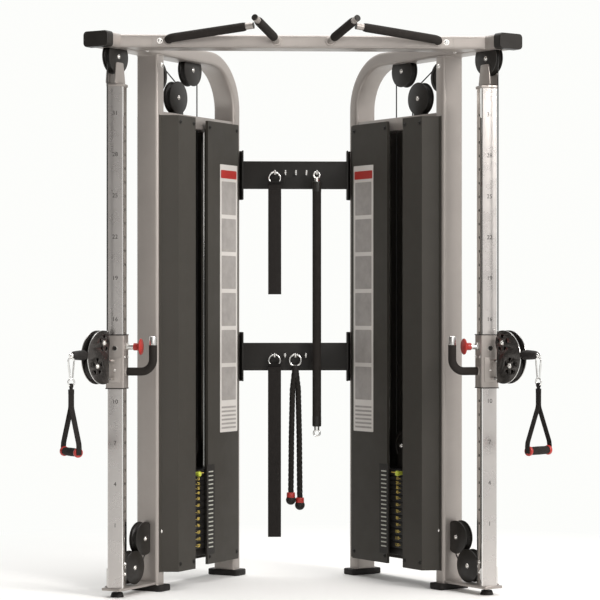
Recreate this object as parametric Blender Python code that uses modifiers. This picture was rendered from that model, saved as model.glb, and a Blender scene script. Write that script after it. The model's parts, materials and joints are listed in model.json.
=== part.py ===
"""Functional trainer: two adjustable pulley towers joined by a chin-up beam and two accessory racks.

Metres, +Z up, +X to the right and +Y to the back. Each tower stands in its own frame: the unit empty sits
on the main upright's axis, its Y axis runs along the tower from the front cap to the rear upright, and the
side that faces the user is `side` times its X axis.
"""

import math

import bmesh
import bpy
from mathutils import Matrix, Vector

# Layout of the two towers
UNIT_HALF_SPACING = 0.600
UNIT_Y = -0.024
FRAME_YAW = math.radians(32.0)

# Frame tube of the towers
TUBE_WIDTH = 0.100
TUBE_DEPTH = 0.055
TUBE_WALL = 0.003
TUBE_CORNER = 0.012
TOP_Z = 2.164
TOP_FRONT_S = -0.372
REAR_S = 0.590
ARCH_RADIUS = 0.200
ARCH_STEPS = 5
FOOT_HEIGHT = 0.025
FOOT_LENGTH = 0.150
FOOT_WIDTH = 0.080

# Running and seating clearances
SEAT_GAP = 0.0003
RUN_GAP = 0.0006

# End cap
CAP_WIDTH = 0.114
CAP_HEIGHT = 0.061
CAP_FACE = 0.014
CAP_OVERLAP = 0.024
CAP_CORNER = 0.010

# Cable and pulleys
CABLE_RADIUS = 0.0026
PULLEY_LINE = 0.055
PULLEY_RIM = 0.0615
PULLEY_WIDTH = 0.020
AXLE_RADIUS = 0.006
PULLEY_SIDES = 14
GUARD_RADIUS = 0.066
GUARD_GAP = 0.026
GUARD_WALL = 0.004
GUARD_SIDES = 14
GUARD_POST_GAP = 0.0012
AXLE_BITE = 0.002
AXLE_SIDES = 8

# Pulley centres along the tower and in height
CABLE_FRONT_S = -0.305
TOP_PULLEY_Z = TOP_Z - 0.057
TOP_REAR_S = 0.295
SHROUD_PULLEY_S = 0.185
SHROUD_PULLEY_Z = TOP_Z - 0.179
IDLER_S = 0.047
IDLER_Z = TOP_Z - 0.102
LOWER_REAR_Z = 0.212
LOWER_FRONT_S = -0.136
LOWER_FRONT_Z = 0.104

# Guide post
POST_S = -0.237
POST_SIZE = 0.0635
POST_WALL = 0.004
POST_CORNER = 0.005
POST_TURN = math.radians(19.5)
POST_TOP = TOP_Z - 0.174
HOLE_COUNT = 31
HOLE_FIRST_Z = 0.281
HOLE_PITCH = 0.0535
HOLE_RADIUS = 0.006
HOLE_SIDES = 6
POST_HEAD_HEIGHT = 0.012
LINK_WIDTH = 0.090
LINK_THICKNESS = 0.010
LEVEL_FOOT_RADIUS = 0.026
LEVEL_FOOT_HEIGHT = 0.018
LEVEL_STEM_RADIUS = 0.006

# Carriage
CARRIAGE_HOLE = 14
SLEEVE_SIZE = 0.074
SLEEVE_BELOW = 0.161
SLEEVE_ABOVE = 0.0455
BUSH_HEIGHT = 0.004
BUSH_PROUD = 0.0015
BARREL_RADIUS = 0.0115
BARREL_LENGTH = 0.032
PIN_RADIUS = 0.005
PIN_TIP_GAP = 0.0008
KNOB_RADIUS = 0.032
KNOB_LENGTH = 0.037
KNOB_NECK = 0.0145
KNOB_CUP = 0.0125
KNOB_LAP = 0.002
HANDLE_RADIUS = 0.016
HANDLE_DROP = 0.0965
HANDLE_REACH = 0.107
HANDLE_BEND = 0.048
HANDLE_RISE = 0.137
HANDLE_TIP_RADIUS = 0.0145
HANDLE_TIP = 0.034
LUG_HEIGHT = 0.010
LUG_DROP = 0.0495
LUG_SPAN = 0.080
LUG_WIDTH = 0.026
LUG_NOSE = 0.012
LUG_BITE = 0.002
HINGE_PIN_RADIUS = 0.004
HINGE_BARREL_RADIUS = 0.009

# Swivelling pulley housing
SWING_LINE = 0.0445
SWING_RIM = 0.0490
SWING_UPPER_RISE = 0.0155
SWING_PITCH_S = 0.045
SWING_AXLE = 0.005
SWING_WIDTH = 0.020
PLATE_RADIUS = 0.104
PLATE_CENTRE_S = -0.050
PLATE_CENTRE_DROP = 0.0395
PLATE_REAR = 0.013
PLATE_STEPS = 12
PLATE_WALL = 0.004
WINDOW_COUNT = 5
WINDOW_INNER = 0.015
WINDOW_OUTER = 0.034
WINDOW_HALF_ANGLE = math.radians(22.0)

# Handle
STOP_RADIUS = 0.019
STOP_LENGTH = 0.080
EYE_RADIUS = 0.010
EYE_WIRE = 0.0035
CLIP_LENGTH = 0.082
CLIP_WIDTH = 0.026
CLIP_WIRE = 0.0035
CLIP_BITE = 0.0017
RING_RADIUS = 0.013
STRAP_WIDTH = 0.024
STRAP_THICKNESS = 0.0040
STRAP_TRUNK = 0.085
STRAP_EYE_GAP = 0.0022
STRAP_GATHER = 0.42
STRAP_DROP = 0.2495
GRIP_LENGTH = 0.128
GRIP_RADIUS = 0.0150
GRIP_RING_RADIUS = 0.0190
GRIP_RING_LENGTH = 0.013
GRIP_BORE = 0.0075
LEFT_GRIP_YAW = math.radians(-60.5)
RIGHT_GRIP_YAW = math.radians(-138.0)

# Weight stack
ROD_RADIUS = 0.0125
ROD_OFFSET = 0.110
STACK_BASE_Z = 0.112
STACK_BASE_HEIGHT = 0.030
STACK_LENGTH = 0.276
STACK_WIDTH = 0.120
THICK_PLATES = 8
THICK_PITCH = 0.0275
THIN_PLATES = 4
THIN_PITCH = 0.0190
PLATE_GROOVE = 0.004
PLATE_INSET = 0.003
HEAD_HEIGHT = 0.026
CROSS_PLATE_Z = TOP_Z - 0.302
CROSS_PLATE_HEIGHT = 0.052
CROSS_PLATE_WIDTH = 0.090
FLOAT_RISE = 0.094
SELECTOR_RADIUS = 0.004
SELECTOR_KNOB = 0.011
SELECTOR_REACH = 0.016
SELECTOR_S = 0.235

# Shrouds
SHEET = 0.002
SHROUD_BOTTOM = 0.075
SHROUD_TOP = TOP_Z - 0.266
FRONT_PANEL_N = 0.110
FRONT_FOLD_S = 0.036
FRONT_PANEL_END = 0.162
REAR_PANEL_N = 0.075
REAR_PANEL_START = 0.315
OUTER_PANEL_N = -0.075
PANEL_LIP = 0.011

# Chin-up beam
BEAM_HEIGHT = 0.050
BEAM_FRONT = -0.270
BEAM_BACK = -0.150
BEAM_WALL = 0.003
BEAM_SEAM_X = 0.586
BEAM_CORNER = 0.010
STUB_BITE = 0.0105
BAR_RADIUS = 0.0127
FOAM_RADIUS = 0.0172
WIDE_BASE_X = 0.524
WIDE_TIP_X = 0.196
WIDE_REACH = 0.105
WIDE_ELBOW = 0.036
WIDE_TIP_RISE = 0.048
NEUTRAL_BASE_X = 0.104
NEUTRAL_TIP_X = 0.196
NEUTRAL_REACH = 0.205
NEUTRAL_TIP_RISE = 0.066
BAR_BASE_RISE = 0.001
BAR_TIP_BARE = 0.032

# Accessory racks
RACK_INSET = 0.0106
RACK_HEIGHT = 0.117
RACK_DEPTH = 0.024
RACK_STEP = 0.028
RACK_FLANGE = 0.208
RACK_FLANGE_WALL = 0.006
UPPER_RACK_Z = 1.690
LOWER_RACK_Z = 0.923
PEG_COUNT = 5
PEG_PITCH = 0.044
PEG_RADIUS = 0.005
UPPER_PEG_REACH = 0.082
LOWER_PEG_REACH = 0.038
PEG_TIP_RISE = 0.014

# Accessories
D_RING_RADIUS = 0.024
D_RING_WIRE = 0.0035
BAND_WIDTH = 0.055
BAND_THICKNESS = 0.005
SHORT_BAND_LENGTH = 0.470
LONG_BAND_LENGTH = 0.725
BAR_LENGTH = 1.060
STRAIGHT_BAR_RADIUS = 0.0190
BAR_EYE_RADIUS = 0.013
ROPE_RADIUS = 0.0125
ROPE_LENGTH = 0.545
ROPE_SPREAD = 0.019
ROPE_BALL = 0.021
HOOK_SETTLE = 0.0005

for old in list(bpy.data.objects):
    bpy.data.objects.remove(old, do_unlink=True)

PARTS = bpy.data.collections.new("functional_trainer")
HELPERS = bpy.data.collections.new("cutters")
bpy.context.scene.collection.children.link(PARTS)
bpy.context.scene.collection.children.link(HELPERS)


def material(name, colour, roughness, metallic):
    """A Principled material with one colour."""
    made = bpy.data.materials.new(name)
    made.use_nodes = True
    shader = made.node_tree.nodes["Principled BSDF"]
    shader.inputs["Base Color"].default_value = (*colour, 1.0)
    shader.inputs["Roughness"].default_value = roughness
    shader.inputs["Metallic"].default_value = metallic
    made.diffuse_color = (*colour, 1.0)
    return made


SILVER_PAINT = material("silver_paint", (0.30, 0.28, 0.27), 0.42, 0.3)
CHROME = material("chrome", (0.78, 0.77, 0.75), 0.16, 1.0)
BLACK_PLASTIC = material("black_plastic", (0.030, 0.027, 0.025), 0.45, 0.0)
BLACK_STEEL = material("black_steel", (0.026, 0.024, 0.023), 0.35, 0.2)
FOAM = material("foam", (0.035, 0.031, 0.029), 0.85, 0.0)
CHARCOAL = material("charcoal_sheet", (0.066, 0.061, 0.053), 0.60, 0.1)
CAST_IRON = material("cast_iron", (0.040, 0.040, 0.038), 0.60, 0.4)
RED_PLASTIC = material("red_plastic", (0.48, 0.045, 0.040), 0.35, 0.0)
LIME_PLASTIC = material("lime_plastic", (0.50, 0.55, 0.05), 0.40, 0.0)
WEBBING = material("webbing", (0.028, 0.026, 0.024), 0.90, 0.0)
CABLE_COAT = material("cable_coat", (0.020, 0.020, 0.020), 0.40, 0.0)
ROPE_FIBRE = material("rope_fibre", (0.030, 0.028, 0.026), 0.95, 0.0)


def finish(obj, name, shade):
    """Names a part and gives it its material."""
    obj.name = name
    obj.data.name = name
    obj.data.materials.clear()
    obj.data.materials.append(shade)
    return obj


def place(obj, parent, at=(0.0, 0.0, 0.0), turn=0.0):
    """Sets an object on its parent, turned about the vertical."""
    obj.parent = parent
    obj.location = at
    obj.rotation_euler = (0.0, 0.0, turn)
    return obj


def from_bmesh(bm, name):
    """A mesh object in the parts' collection from a finished bmesh."""
    bmesh.ops.recalc_face_normals(bm, faces=bm.faces[:])
    if bm.calc_volume(signed=True) < 0:
        bmesh.ops.reverse_faces(bm, faces=bm.faces[:])
    mesh = bpy.data.meshes.new(name)
    bm.to_mesh(mesh)
    bm.free()
    obj = bpy.data.objects.new(name, mesh)
    PARTS.objects.link(obj)
    return obj


def as_mesh(obj, frame=None, flat=False):
    """The evaluated object as a welded mesh, moved by `frame`, with level faces joined when `flat` is set."""
    bpy.context.view_layer.update()
    graph = bpy.context.evaluated_depsgraph_get()
    mesh = bpy.data.meshes.new_from_object(obj.evaluated_get(graph))
    bm = bmesh.new()
    bm.from_mesh(mesh)
    bpy.data.meshes.remove(mesh)
    if frame is not None:
        bm.transform(frame)
    bmesh.ops.remove_doubles(bm, verts=bm.verts[:], dist=1e-6)
    if flat:
        bmesh.ops.dissolve_limit(bm, angle_limit=math.radians(0.2), verts=[], edges=bm.edges[:])
    name = obj.name
    bpy.data.objects.remove(obj, do_unlink=True)
    return from_bmesh(bm, name)


def box(low, high, name="box"):
    """A block between two corners."""
    bm = bmesh.new()
    bmesh.ops.create_cube(bm, size=1.0)
    size = [abs(b - a) for a, b in zip(low, high)]
    middle = [(a + b) / 2 for a, b in zip(low, high)]
    bm.transform(Matrix.Translation(middle) @ Matrix.Diagonal((*size, 1.0)))
    return from_bmesh(bm, name)


def rod(start, end, radius, sides=16, end_radius=None, name="rod"):
    """A round bar, or a cone frustum, between two points."""
    start, end = Vector(start), Vector(end)
    along = end - start
    bm = bmesh.new()
    bmesh.ops.create_cone(
        bm,
        cap_ends=True,
        segments=sides,
        radius1=radius,
        radius2=radius if end_radius is None else end_radius,
        depth=along.length,
    )
    turn = Vector((0.0, 0.0, 1.0)).rotation_difference(along.normalized()).to_matrix().to_4x4()
    bm.transform(Matrix.Translation((start + end) / 2) @ turn)
    return from_bmesh(bm, name)


def ring(centre, normal, radius, wire, sides=16, wire_sides=6, stretch=0.0, name="ring"):
    """A closed ring of round wire, drawn out along its upright by `stretch` when it isn't zero."""
    points = []
    for step in range(sides):
        angle = 2 * math.pi * (step + 0.5) / sides
        offset = stretch / 2 if math.sin(angle) > 0 else -stretch / 2
        points.append((radius * math.cos(angle), radius * math.sin(angle) + offset, 0.0))
    curve = bpy.data.curves.new(name, "CURVE")
    curve.dimensions = "3D"
    curve.bevel_depth = wire
    curve.bevel_resolution = (wire_sides - 4) // 2
    spline = curve.splines.new("POLY")
    spline.points.add(len(points) - 1)
    for point, at in zip(spline.points, points):
        point.co = (*at, 1.0)
    spline.use_cyclic_u = True
    obj = bpy.data.objects.new(name, curve)
    PARTS.objects.link(obj)
    normal = Vector(normal).normalized()
    upright = Vector((0.0, 0.0, 1.0))
    if abs(normal.z) > 0.99:
        upright = Vector((0.0, 1.0, 0.0))
    across = upright.cross(normal).normalized()
    frame = Matrix((across, normal.cross(across), normal)).transposed().to_4x4()
    return as_mesh(obj, Matrix.Translation(centre) @ frame)


def sheet_outline(points, thickness):
    """The outline of a strip of even thickness, centred on an open run of plan points."""
    left, right = [], []
    for index, here in enumerate(points):
        here = Vector(here)
        before = Vector(points[max(index - 1, 0)])
        after = Vector(points[min(index + 1, len(points) - 1)])
        first = (here - before) if index else (after - here)
        second = (after - here) if index < len(points) - 1 else first
        first.normalize()
        second.normalize()
        normal_a = Vector((-first.y, first.x))
        normal_b = Vector((-second.y, second.x))
        miter = (normal_a + normal_b).normalized()
        miter *= thickness / 2 / max(miter.dot(normal_a), 0.2)
        left.append(here + miter)
        right.append(here - miter)
    return [(p.x, p.y) for p in left] + [(p.x, p.y) for p in reversed(right)]


def prism(outline, low, high, plane, name="prism", holes=()):
    """A flat outline pulled from `low` to `high`: PLAN along Z, SIDE along X and FRONT along Y."""
    curve = bpy.data.curves.new(name, "CURVE")
    curve.dimensions = "2D"
    curve.fill_mode = "BOTH"
    curve.extrude = (high - low) / 2
    for run in (outline, *holes):
        spline = curve.splines.new("POLY")
        spline.points.add(len(run) - 1)
        for point, at in zip(spline.points, run):
            point.co = (at[0], at[1], 0.0, 1.0)
        spline.use_cyclic_u = True
    obj = bpy.data.objects.new(name, curve)
    PARTS.objects.link(obj)
    middle = (low + high) / 2
    if plane == "PLAN":
        frame = Matrix.Translation((0.0, 0.0, middle))
    elif plane == "SIDE":
        frame = Matrix(((0, 0, 1, middle), (1, 0, 0, 0), (0, 1, 0, 0), (0, 0, 0, 1)))
    else:
        frame = Matrix(((1, 0, 0, 0), (0, 0, -1, middle), (0, 1, 0, 0), (0, 0, 0, 1)))
    return as_mesh(obj, frame, flat=True)


def wire_run(points, radius, resolution=2, name="run"):
    """A round tube along a run of points, left as a curve."""
    curve = bpy.data.curves.new(name, "CURVE")
    curve.dimensions = "3D"
    curve.bevel_depth = radius
    curve.bevel_resolution = resolution
    curve.use_fill_caps = True
    spline = curve.splines.new("POLY")
    spline.points.add(len(points) - 1)
    for point, at in zip(spline.points, points):
        point.co = (*at, 1.0)
    obj = bpy.data.objects.new(name, curve)
    PARTS.objects.link(obj)
    return obj


def tube(points, radius, resolution=2, name="tube"):
    """A round tube along a run of points, as a mesh."""
    return as_mesh(wire_run(points, radius, resolution, name))


def turned(profile, sides, name="turned"):
    """A profile of (radius, height) points, outer side from top to bottom, turned about Z by a Screw."""
    bm = bmesh.new()
    points = [bm.verts.new((radius, 0.0, height)) for radius, height in profile]
    closed = profile[0][0] > 1e-6 or profile[-1][0] > 1e-6
    for first, second in zip(points, points[1:]):
        bm.edges.new((first, second))
    if closed:
        bm.edges.new((points[-1], points[0]))
    mesh = bpy.data.meshes.new(name)
    bm.to_mesh(mesh)
    bm.free()
    obj = bpy.data.objects.new(name, mesh)
    PARTS.objects.link(obj)
    screw = obj.modifiers.new("Turn", "SCREW")
    screw.steps = sides
    screw.render_steps = sides
    screw.use_merge_vertices = True
    screw.merge_threshold = 1e-5
    return obj


def round_edges(obj, width, segments, wanted):
    """Bevels the sharp edges whose two ends pass the test `wanted`."""
    bm = bmesh.new()
    bm.from_mesh(obj.data)
    weight = bm.edges.layers.float.new("bevel_weight_edge")
    for edge in bm.edges:
        sharp = len(edge.link_faces) == 2 and edge.calc_face_angle() > math.radians(50)
        edge[weight] = 1.0 if sharp and wanted(edge.verts[0].co, edge.verts[1].co) else 0.0
    bm.to_mesh(obj.data)
    bm.free()
    bevel = obj.modifiers.new("Corner", "BEVEL")
    bevel.limit_method = "WEIGHT"
    bevel.width = width
    bevel.segments = segments
    bevel.use_clamp_overlap = True
    return obj


def combine(target, other, operation, solver="EXACT"):
    """A Boolean of `other` on `target`, with `other` kept as a hidden helper."""
    for holder in list(other.users_collection):
        holder.objects.unlink(other)
    HELPERS.objects.link(other)
    other.hide_render = True
    other.display_type = "WIRE"
    modifier = target.modifiers.new(operation.title(), "BOOLEAN")
    modifier.operation = operation
    modifier.object = other
    modifier.solver = solver
    return target


def unite(target, *others, solver="EXACT"):
    """Welds the others to the target."""
    for other in others:
        combine(target, other, "UNION", solver)
    return target


def cut(target, *others, solver="EXACT"):
    """Takes the others out of the target."""
    for other in others:
        combine(target, other, "DIFFERENCE", solver)
    return target


def own(parent, *objects):
    """Hangs helper shapes on the same parent as the part they shape."""
    for obj in objects:
        obj.parent = parent
    return objects


def arc(centre, radius, start, end, steps):
    """Points of an arc in degrees, both ends included."""
    angles = [math.radians(start + (end - start) * step / steps) for step in range(steps + 1)]
    return [(centre[0] + radius * math.cos(a), centre[1] + radius * math.sin(a)) for a in angles]


def bend(points, radius, steps):
    """A run of points in space with its inner corners rounded to a radius."""
    points = [Vector(point) for point in points]
    run = [points[0]]
    for before, here, after in zip(points, points[1:], points[2:]):
        first = (before - here).normalized()
        second = (after - here).normalized()
        half = first.angle(second) / 2
        back = radius / math.tan(half)
        middle = here + (first + second).normalized() * radius / math.sin(half)
        start = here + first * back - middle
        end = here + second * back - middle
        turn = start.rotation_difference(end)
        for step in range(steps + 1):
            part = turn.copy()
            part.angle = turn.angle * step / steps
            run.append(middle + part @ start)
    run.append(points[-1])
    return run


def guard_outline(centre, chord=None, axis=1):
    """A guard disc, cut straight at `chord` along S (axis 0) or Z (axis 1) when one is given."""
    if chord is None:
        return arc(centre, GUARD_RADIUS, 0, 360, GUARD_SIDES)[:-1]
    reach = (chord - centre[axis]) / GUARD_RADIUS
    if axis:
        edge = math.degrees(math.asin(reach))
        return arc(centre, GUARD_RADIUS, 180 - edge, 360 + edge, GUARD_SIDES)
    edge = math.degrees(math.acos(reach))
    return arc(centre, GUARD_RADIUS, edge, 360 - edge, GUARD_SIDES)


def guards(outline, centre):
    """Two guard plates on one outline with the axle between them."""
    inner = GUARD_GAP / 2
    outer = inner + GUARD_WALL
    near = prism(outline, inner, outer, "SIDE")
    far = prism(outline, -outer, -inner, "SIDE")
    end = inner + AXLE_BITE
    return [near, far, rod((-end, *centre), (end, *centre), AXLE_RADIUS, AXLE_SIDES)]


def wheel_profile(bore, line, rim, width):
    """Half section of a wheel with a V groove that carries the cable at the radius `line`."""
    half = width / 2
    floor = line - (CABLE_RADIUS + RUN_GAP) * 1.5
    return [(bore, half), (rim, half), (floor, 0.0), (rim, -half), (bore, -half)]


def pulley(name, parent, centre, line, rim, width, axle):
    """A grooved wheel on its axle, its origin on the axle line."""
    bore = (axle + RUN_GAP) / math.cos(math.pi / PULLEY_SIDES)
    obj = turned(wheel_profile(bore, line, rim, width), PULLEY_SIDES, name)
    place(obj, parent, (0.0, *centre))
    obj.rotation_euler = (0.0, math.pi / 2, 0.0)
    return finish(obj, name, BLACK_PLASTIC)


# Places worked out from the driving dimensions
HALF_DEPTH = TUBE_DEPTH / 2
HALF_WIDTH = TUBE_WIDTH / 2
TOP_UNDER = TOP_Z - HALF_DEPTH
TOP_FRONT_PULLEY_S = CABLE_FRONT_S + PULLEY_LINE
LOWER_REAR_S = IDLER_S - 2 * PULLEY_LINE
LINK_BOTTOM = FOOT_HEIGHT + 0.002
LINK_TOP = LINK_BOTTOM + LINK_THICKNESS
POST_BOTTOM = LINK_TOP + SEAT_GAP
CARRIAGE_Z = HOLE_FIRST_Z + HOLE_PITCH * (CARRIAGE_HOLE - 1)
SLOT_HALF = GUARD_GAP / 2 - 0.0005
SLOT_REACH = GUARD_RADIUS - 0.004
STACK_TOP = STACK_BASE_Z + STACK_BASE_HEIGHT + THICK_PLATES * THICK_PITCH + THIN_PLATES * THIN_PITCH
HEAD_BOTTOM = STACK_TOP + SEAT_GAP
HEAD_TOP = HEAD_BOTTOM + HEAD_HEIGHT
FLOAT_S = TOP_REAR_S
FLOAT_Z = HEAD_TOP + FLOAT_RISE
SWING_UPPER = (-SWING_LINE, SWING_UPPER_RISE)
SWING_LOWER = (-SWING_LINE - SWING_PITCH_S, SWING_UPPER_RISE - 2 * SWING_LINE)
CABLE_OUT_Z = SWING_UPPER_RISE - SWING_LINE
STOP_REAR_S = PLATE_CENTRE_S - PLATE_RADIUS - SEAT_GAP
SLEEVE_HALF = SLEEVE_SIZE / 2
ANCHOR_S = LOWER_FRONT_S - PULLEY_LINE
ANCHOR_HEIGHT = 0.020


def axis_empty(name, parent, at, turn):
    """An empty on a joint's axis or a tower's frame."""
    made = bpy.data.objects.new(name, None)
    made.empty_display_size = 0.05
    PARTS.objects.link(made)
    return place(made, parent, at, turn)


def unit_plan(x, y, side):
    """A point of the ground plan in the tower's own axes."""
    across = x * side + UNIT_HALF_SPACING
    back = y - UNIT_Y
    normal = across * math.cos(FRAME_YAW) - back * math.sin(FRAME_YAW)
    along = across * math.sin(FRAME_YAW) + back * math.cos(FRAME_YAW)
    return side * normal, along


def world_plan(normal, along, side):
    """The ground plan point of a place in the tower's own axes."""
    x = -UNIT_HALF_SPACING + normal * math.cos(FRAME_YAW) + along * math.sin(FRAME_YAW)
    y = UNIT_Y - normal * math.sin(FRAME_YAW) + along * math.cos(FRAME_YAW)
    return x * side, y


def sleeve_face(x, depth, side, sign):
    """Where the turned sleeve's front (sign -1) or rear (sign 1) face lies along the tower, at `x`."""
    turn = side * POST_TURN
    return POST_S + (x * math.sin(turn) + sign * depth) / math.cos(turn)


def tube_run(half, front, bottom):
    """Side outline of the top tube, arch and rear upright, `half` to each side of the centre line."""
    centre = (REAR_S - ARCH_RADIUS, TOP_Z - ARCH_RADIUS)
    outer = arc(centre, ARCH_RADIUS + half, 90, 0, ARCH_STEPS)
    inner = arc(centre, ARCH_RADIUS - half, 0, 90, ARCH_STEPS)
    return [
        (front, TOP_Z + half),
        *outer,
        (REAR_S + half, bottom),
        (REAR_S - half, bottom),
        *inner,
        (front, TOP_Z - half),
    ]


def beam_plan(side, start, end, front, back, bite):
    """Plan of a beam piece between the tower's inner face and a cut at X = end, in the tower's axes."""
    slope = math.tan(FRAME_YAW)
    corner_x, corner_y = world_plan(HALF_WIDTH - bite, 0.0, side)
    xs = [corner_x + side * slope * (y - corner_y) for y in (front, back)]
    if start is not None:
        xs = [start, start]
    world = [(xs[0], front), (end, front), (end, back), (xs[1], back)]
    return [unit_plan(x, y, side) for x, y in world]


def build_side_frame(unit, side, prefix):
    """The welded frame of one tower with its feet, base link, beam stub and pulley guards."""
    frame = prism(tube_run(HALF_DEPTH, TOP_FRONT_S, FOOT_HEIGHT), -HALF_WIDTH, HALF_WIDTH, "SIDE")

    def long_edge(a, b):
        at_end = abs(a.y - TOP_FRONT_S) + abs(b.y - TOP_FRONT_S) < 1e-5
        at_foot = abs(a.z - FOOT_HEIGHT) + abs(b.z - FOOT_HEIGHT) < 1e-5
        return abs(a.x - b.x) < 1e-5 and not at_end and not at_foot

    def upright_edge(a, b):
        return abs(a.x - b.x) + abs(a.y - b.y) < 1e-5

    round_edges(frame, TUBE_CORNER, 2, long_edge)
    post = box((-HALF_WIDTH, -HALF_DEPTH, FOOT_HEIGHT), (HALF_WIDTH, HALF_DEPTH, TOP_UNDER + 0.0015))
    round_edges(post, TUBE_CORNER, 2, upright_edge)
    added = [post]
    for along in (0.0, REAR_S):
        foot = box(
            (-FOOT_LENGTH / 2, along - FOOT_WIDTH / 2, 0.0),
            (FOOT_LENGTH / 2, along + FOOT_WIDTH / 2, FOOT_HEIGHT + 0.001),
        )
        added.append(round_edges(foot, 0.014, 2, upright_edge))
    link = box(
        (-LINK_WIDTH / 2, POST_S - LINK_WIDTH / 2, LINK_BOTTOM),
        (LINK_WIDTH / 2, 0.0015 - HALF_DEPTH, LINK_TOP),
    )
    stem = rod((0, POST_S, LEVEL_FOOT_HEIGHT - 0.002), (0, POST_S, LINK_TOP - 0.002), LEVEL_STEM_RADIUS, 8)
    pad = rod((0, POST_S, 0), (0, POST_S, LEVEL_FOOT_HEIGHT), LEVEL_FOOT_RADIUS, 14, LEVEL_FOOT_RADIUS * 0.84)
    added += [link, stem, pad]
    stub = prism(
        beam_plan(side, None, -side * BEAM_SEAM_X, UNIT_Y + BEAM_FRONT, UNIT_Y + BEAM_BACK, STUB_BITE),
        TOP_Z - BEAM_HEIGHT / 2,
        TOP_Z + BEAM_HEIGHT / 2,
        "PLAN",
    )
    added.append(stub)

    top_chord = TOP_UNDER + 0.0015
    front_chord = 0.0015 - HALF_DEPTH
    top_front = (TOP_FRONT_PULLEY_S, TOP_PULLEY_Z)
    top_rear = (TOP_REAR_S, TOP_PULLEY_Z)
    lower_rear = (LOWER_REAR_S, LOWER_REAR_Z)
    lower_front = (LOWER_FRONT_S, LOWER_FRONT_Z)
    clear = sleeve_face(GUARD_GAP / 2 + GUARD_WALL, POST_SIZE / 2, 1, 1) + GUARD_POST_GAP
    skirt = [(max(s, clear), z) for s, z in arc(lower_front, GUARD_RADIUS, -65, 245, GUARD_SIDES)]
    skirt += [(skirt[-1][0], LINK_TOP - 0.002), (skirt[0][0], LINK_TOP - 0.002)]
    added += guards(guard_outline(top_front, top_chord), top_front)
    added += guards(guard_outline(top_rear, top_chord), top_rear)
    added += guards(guard_outline(lower_rear, front_chord, 0), lower_rear)
    added += guards(skirt, lower_front)

    idler = (IDLER_S, IDLER_Z)
    ear = [
        (HALF_DEPTH - 0.0015, IDLER_Z - 0.028),
        (IDLER_S, IDLER_Z - 0.014),
        (IDLER_S + 0.012, IDLER_Z),
        (IDLER_S, IDLER_Z + 0.014),
        (HALF_DEPTH - 0.0015, IDLER_Z + 0.028),
    ]
    added += guards(ear, idler)
    wheel = turned(wheel_profile(0.0, PULLEY_LINE, PULLEY_RIM, PULLEY_WIDTH), PULLEY_SIDES)
    wheel.location = (0.0, *idler)
    wheel.rotation_euler = (0.0, math.pi / 2, 0.0)

    inner = TUBE_WALL
    hollow = prism(
        tube_run(HALF_DEPTH - inner, TOP_FRONT_S - 0.01, FOOT_HEIGHT + 0.004),
        inner - HALF_WIDTH,
        HALF_WIDTH - inner,
        "SIDE",
    )
    shaft = box(
        (inner - HALF_WIDTH, inner - HALF_DEPTH, FOOT_HEIGHT + 0.004),
        (HALF_WIDTH - inner, HALF_DEPTH - inner, TOP_UNDER - 0.004),
    )
    stub_hollow = prism(
        beam_plan(
            side,
            -side * (BEAM_SEAM_X + 0.040),
            -side * (BEAM_SEAM_X - 0.010),
            UNIT_Y + BEAM_FRONT + BEAM_WALL,
            UNIT_Y + BEAM_BACK - BEAM_WALL,
            0.0,
        ),
        TOP_Z - BEAM_HEIGHT / 2 + BEAM_WALL,
        TOP_Z + BEAM_HEIGHT / 2 - BEAM_WALL,
        "PLAN",
    )
    slots = [
        box(
            (-SLOT_HALF, s - SLOT_REACH, TOP_UNDER - 0.001),
            (SLOT_HALF, s + SLOT_REACH, TOP_UNDER + inner + 0.001),
        )
        for s in (TOP_FRONT_PULLEY_S, TOP_REAR_S)
    ]
    slots.append(
        box(
            (-SLOT_HALF, -HALF_DEPTH - 0.001, LOWER_REAR_Z - SLOT_REACH),
            (SLOT_HALF, inner + 0.001 - HALF_DEPTH, LOWER_REAR_Z + SLOT_REACH),
        )
    )
    slots.append(
        box(
            (-SLOT_HALF, HALF_DEPTH - inner - 0.001, IDLER_Z - SLOT_REACH),
            (SLOT_HALF, HALF_DEPTH + 0.001, IDLER_Z + SLOT_REACH),
        )
    )
    structure, fittings = added[:7], added[7:]
    own(unit, *structure, *fittings, wheel, hollow, shaft, stub_hollow, *slots)
    unite(frame, *structure, solver="MANIFOLD")
    cut(frame, hollow, shaft, stub_hollow, *slots, solver="MANIFOLD")
    unite(frame, *fittings, wheel, solver="MANIFOLD")
    place(frame, unit)
    return finish(frame, prefix + "side_frame", SILVER_PAINT)


def build_end_cap(unit, prefix):
    """The moulded cap over the top tube's front end."""
    cap = box(
        (-CAP_WIDTH / 2, TOP_FRONT_S - CAP_FACE, TOP_Z - CAP_HEIGHT / 2),
        (CAP_WIDTH / 2, TOP_FRONT_S + CAP_OVERLAP, TOP_Z + CAP_HEIGHT / 2),
    )
    rear = TOP_FRONT_S + CAP_OVERLAP
    round_edges(cap, CAP_CORNER, 3, lambda a, b: abs(a.y - rear) + abs(b.y - rear) > 1e-5)
    pocket = box(
        (-HALF_WIDTH - SEAT_GAP, TOP_FRONT_S - SEAT_GAP, TOP_Z - HALF_DEPTH - SEAT_GAP),
        (HALF_WIDTH + SEAT_GAP, rear + 0.01, TOP_Z + HALF_DEPTH + SEAT_GAP),
    )
    own(unit, pocket)
    cut(cap, pocket)
    place(cap, unit)
    return finish(cap, prefix + "end_cap", BLACK_PLASTIC)


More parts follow.
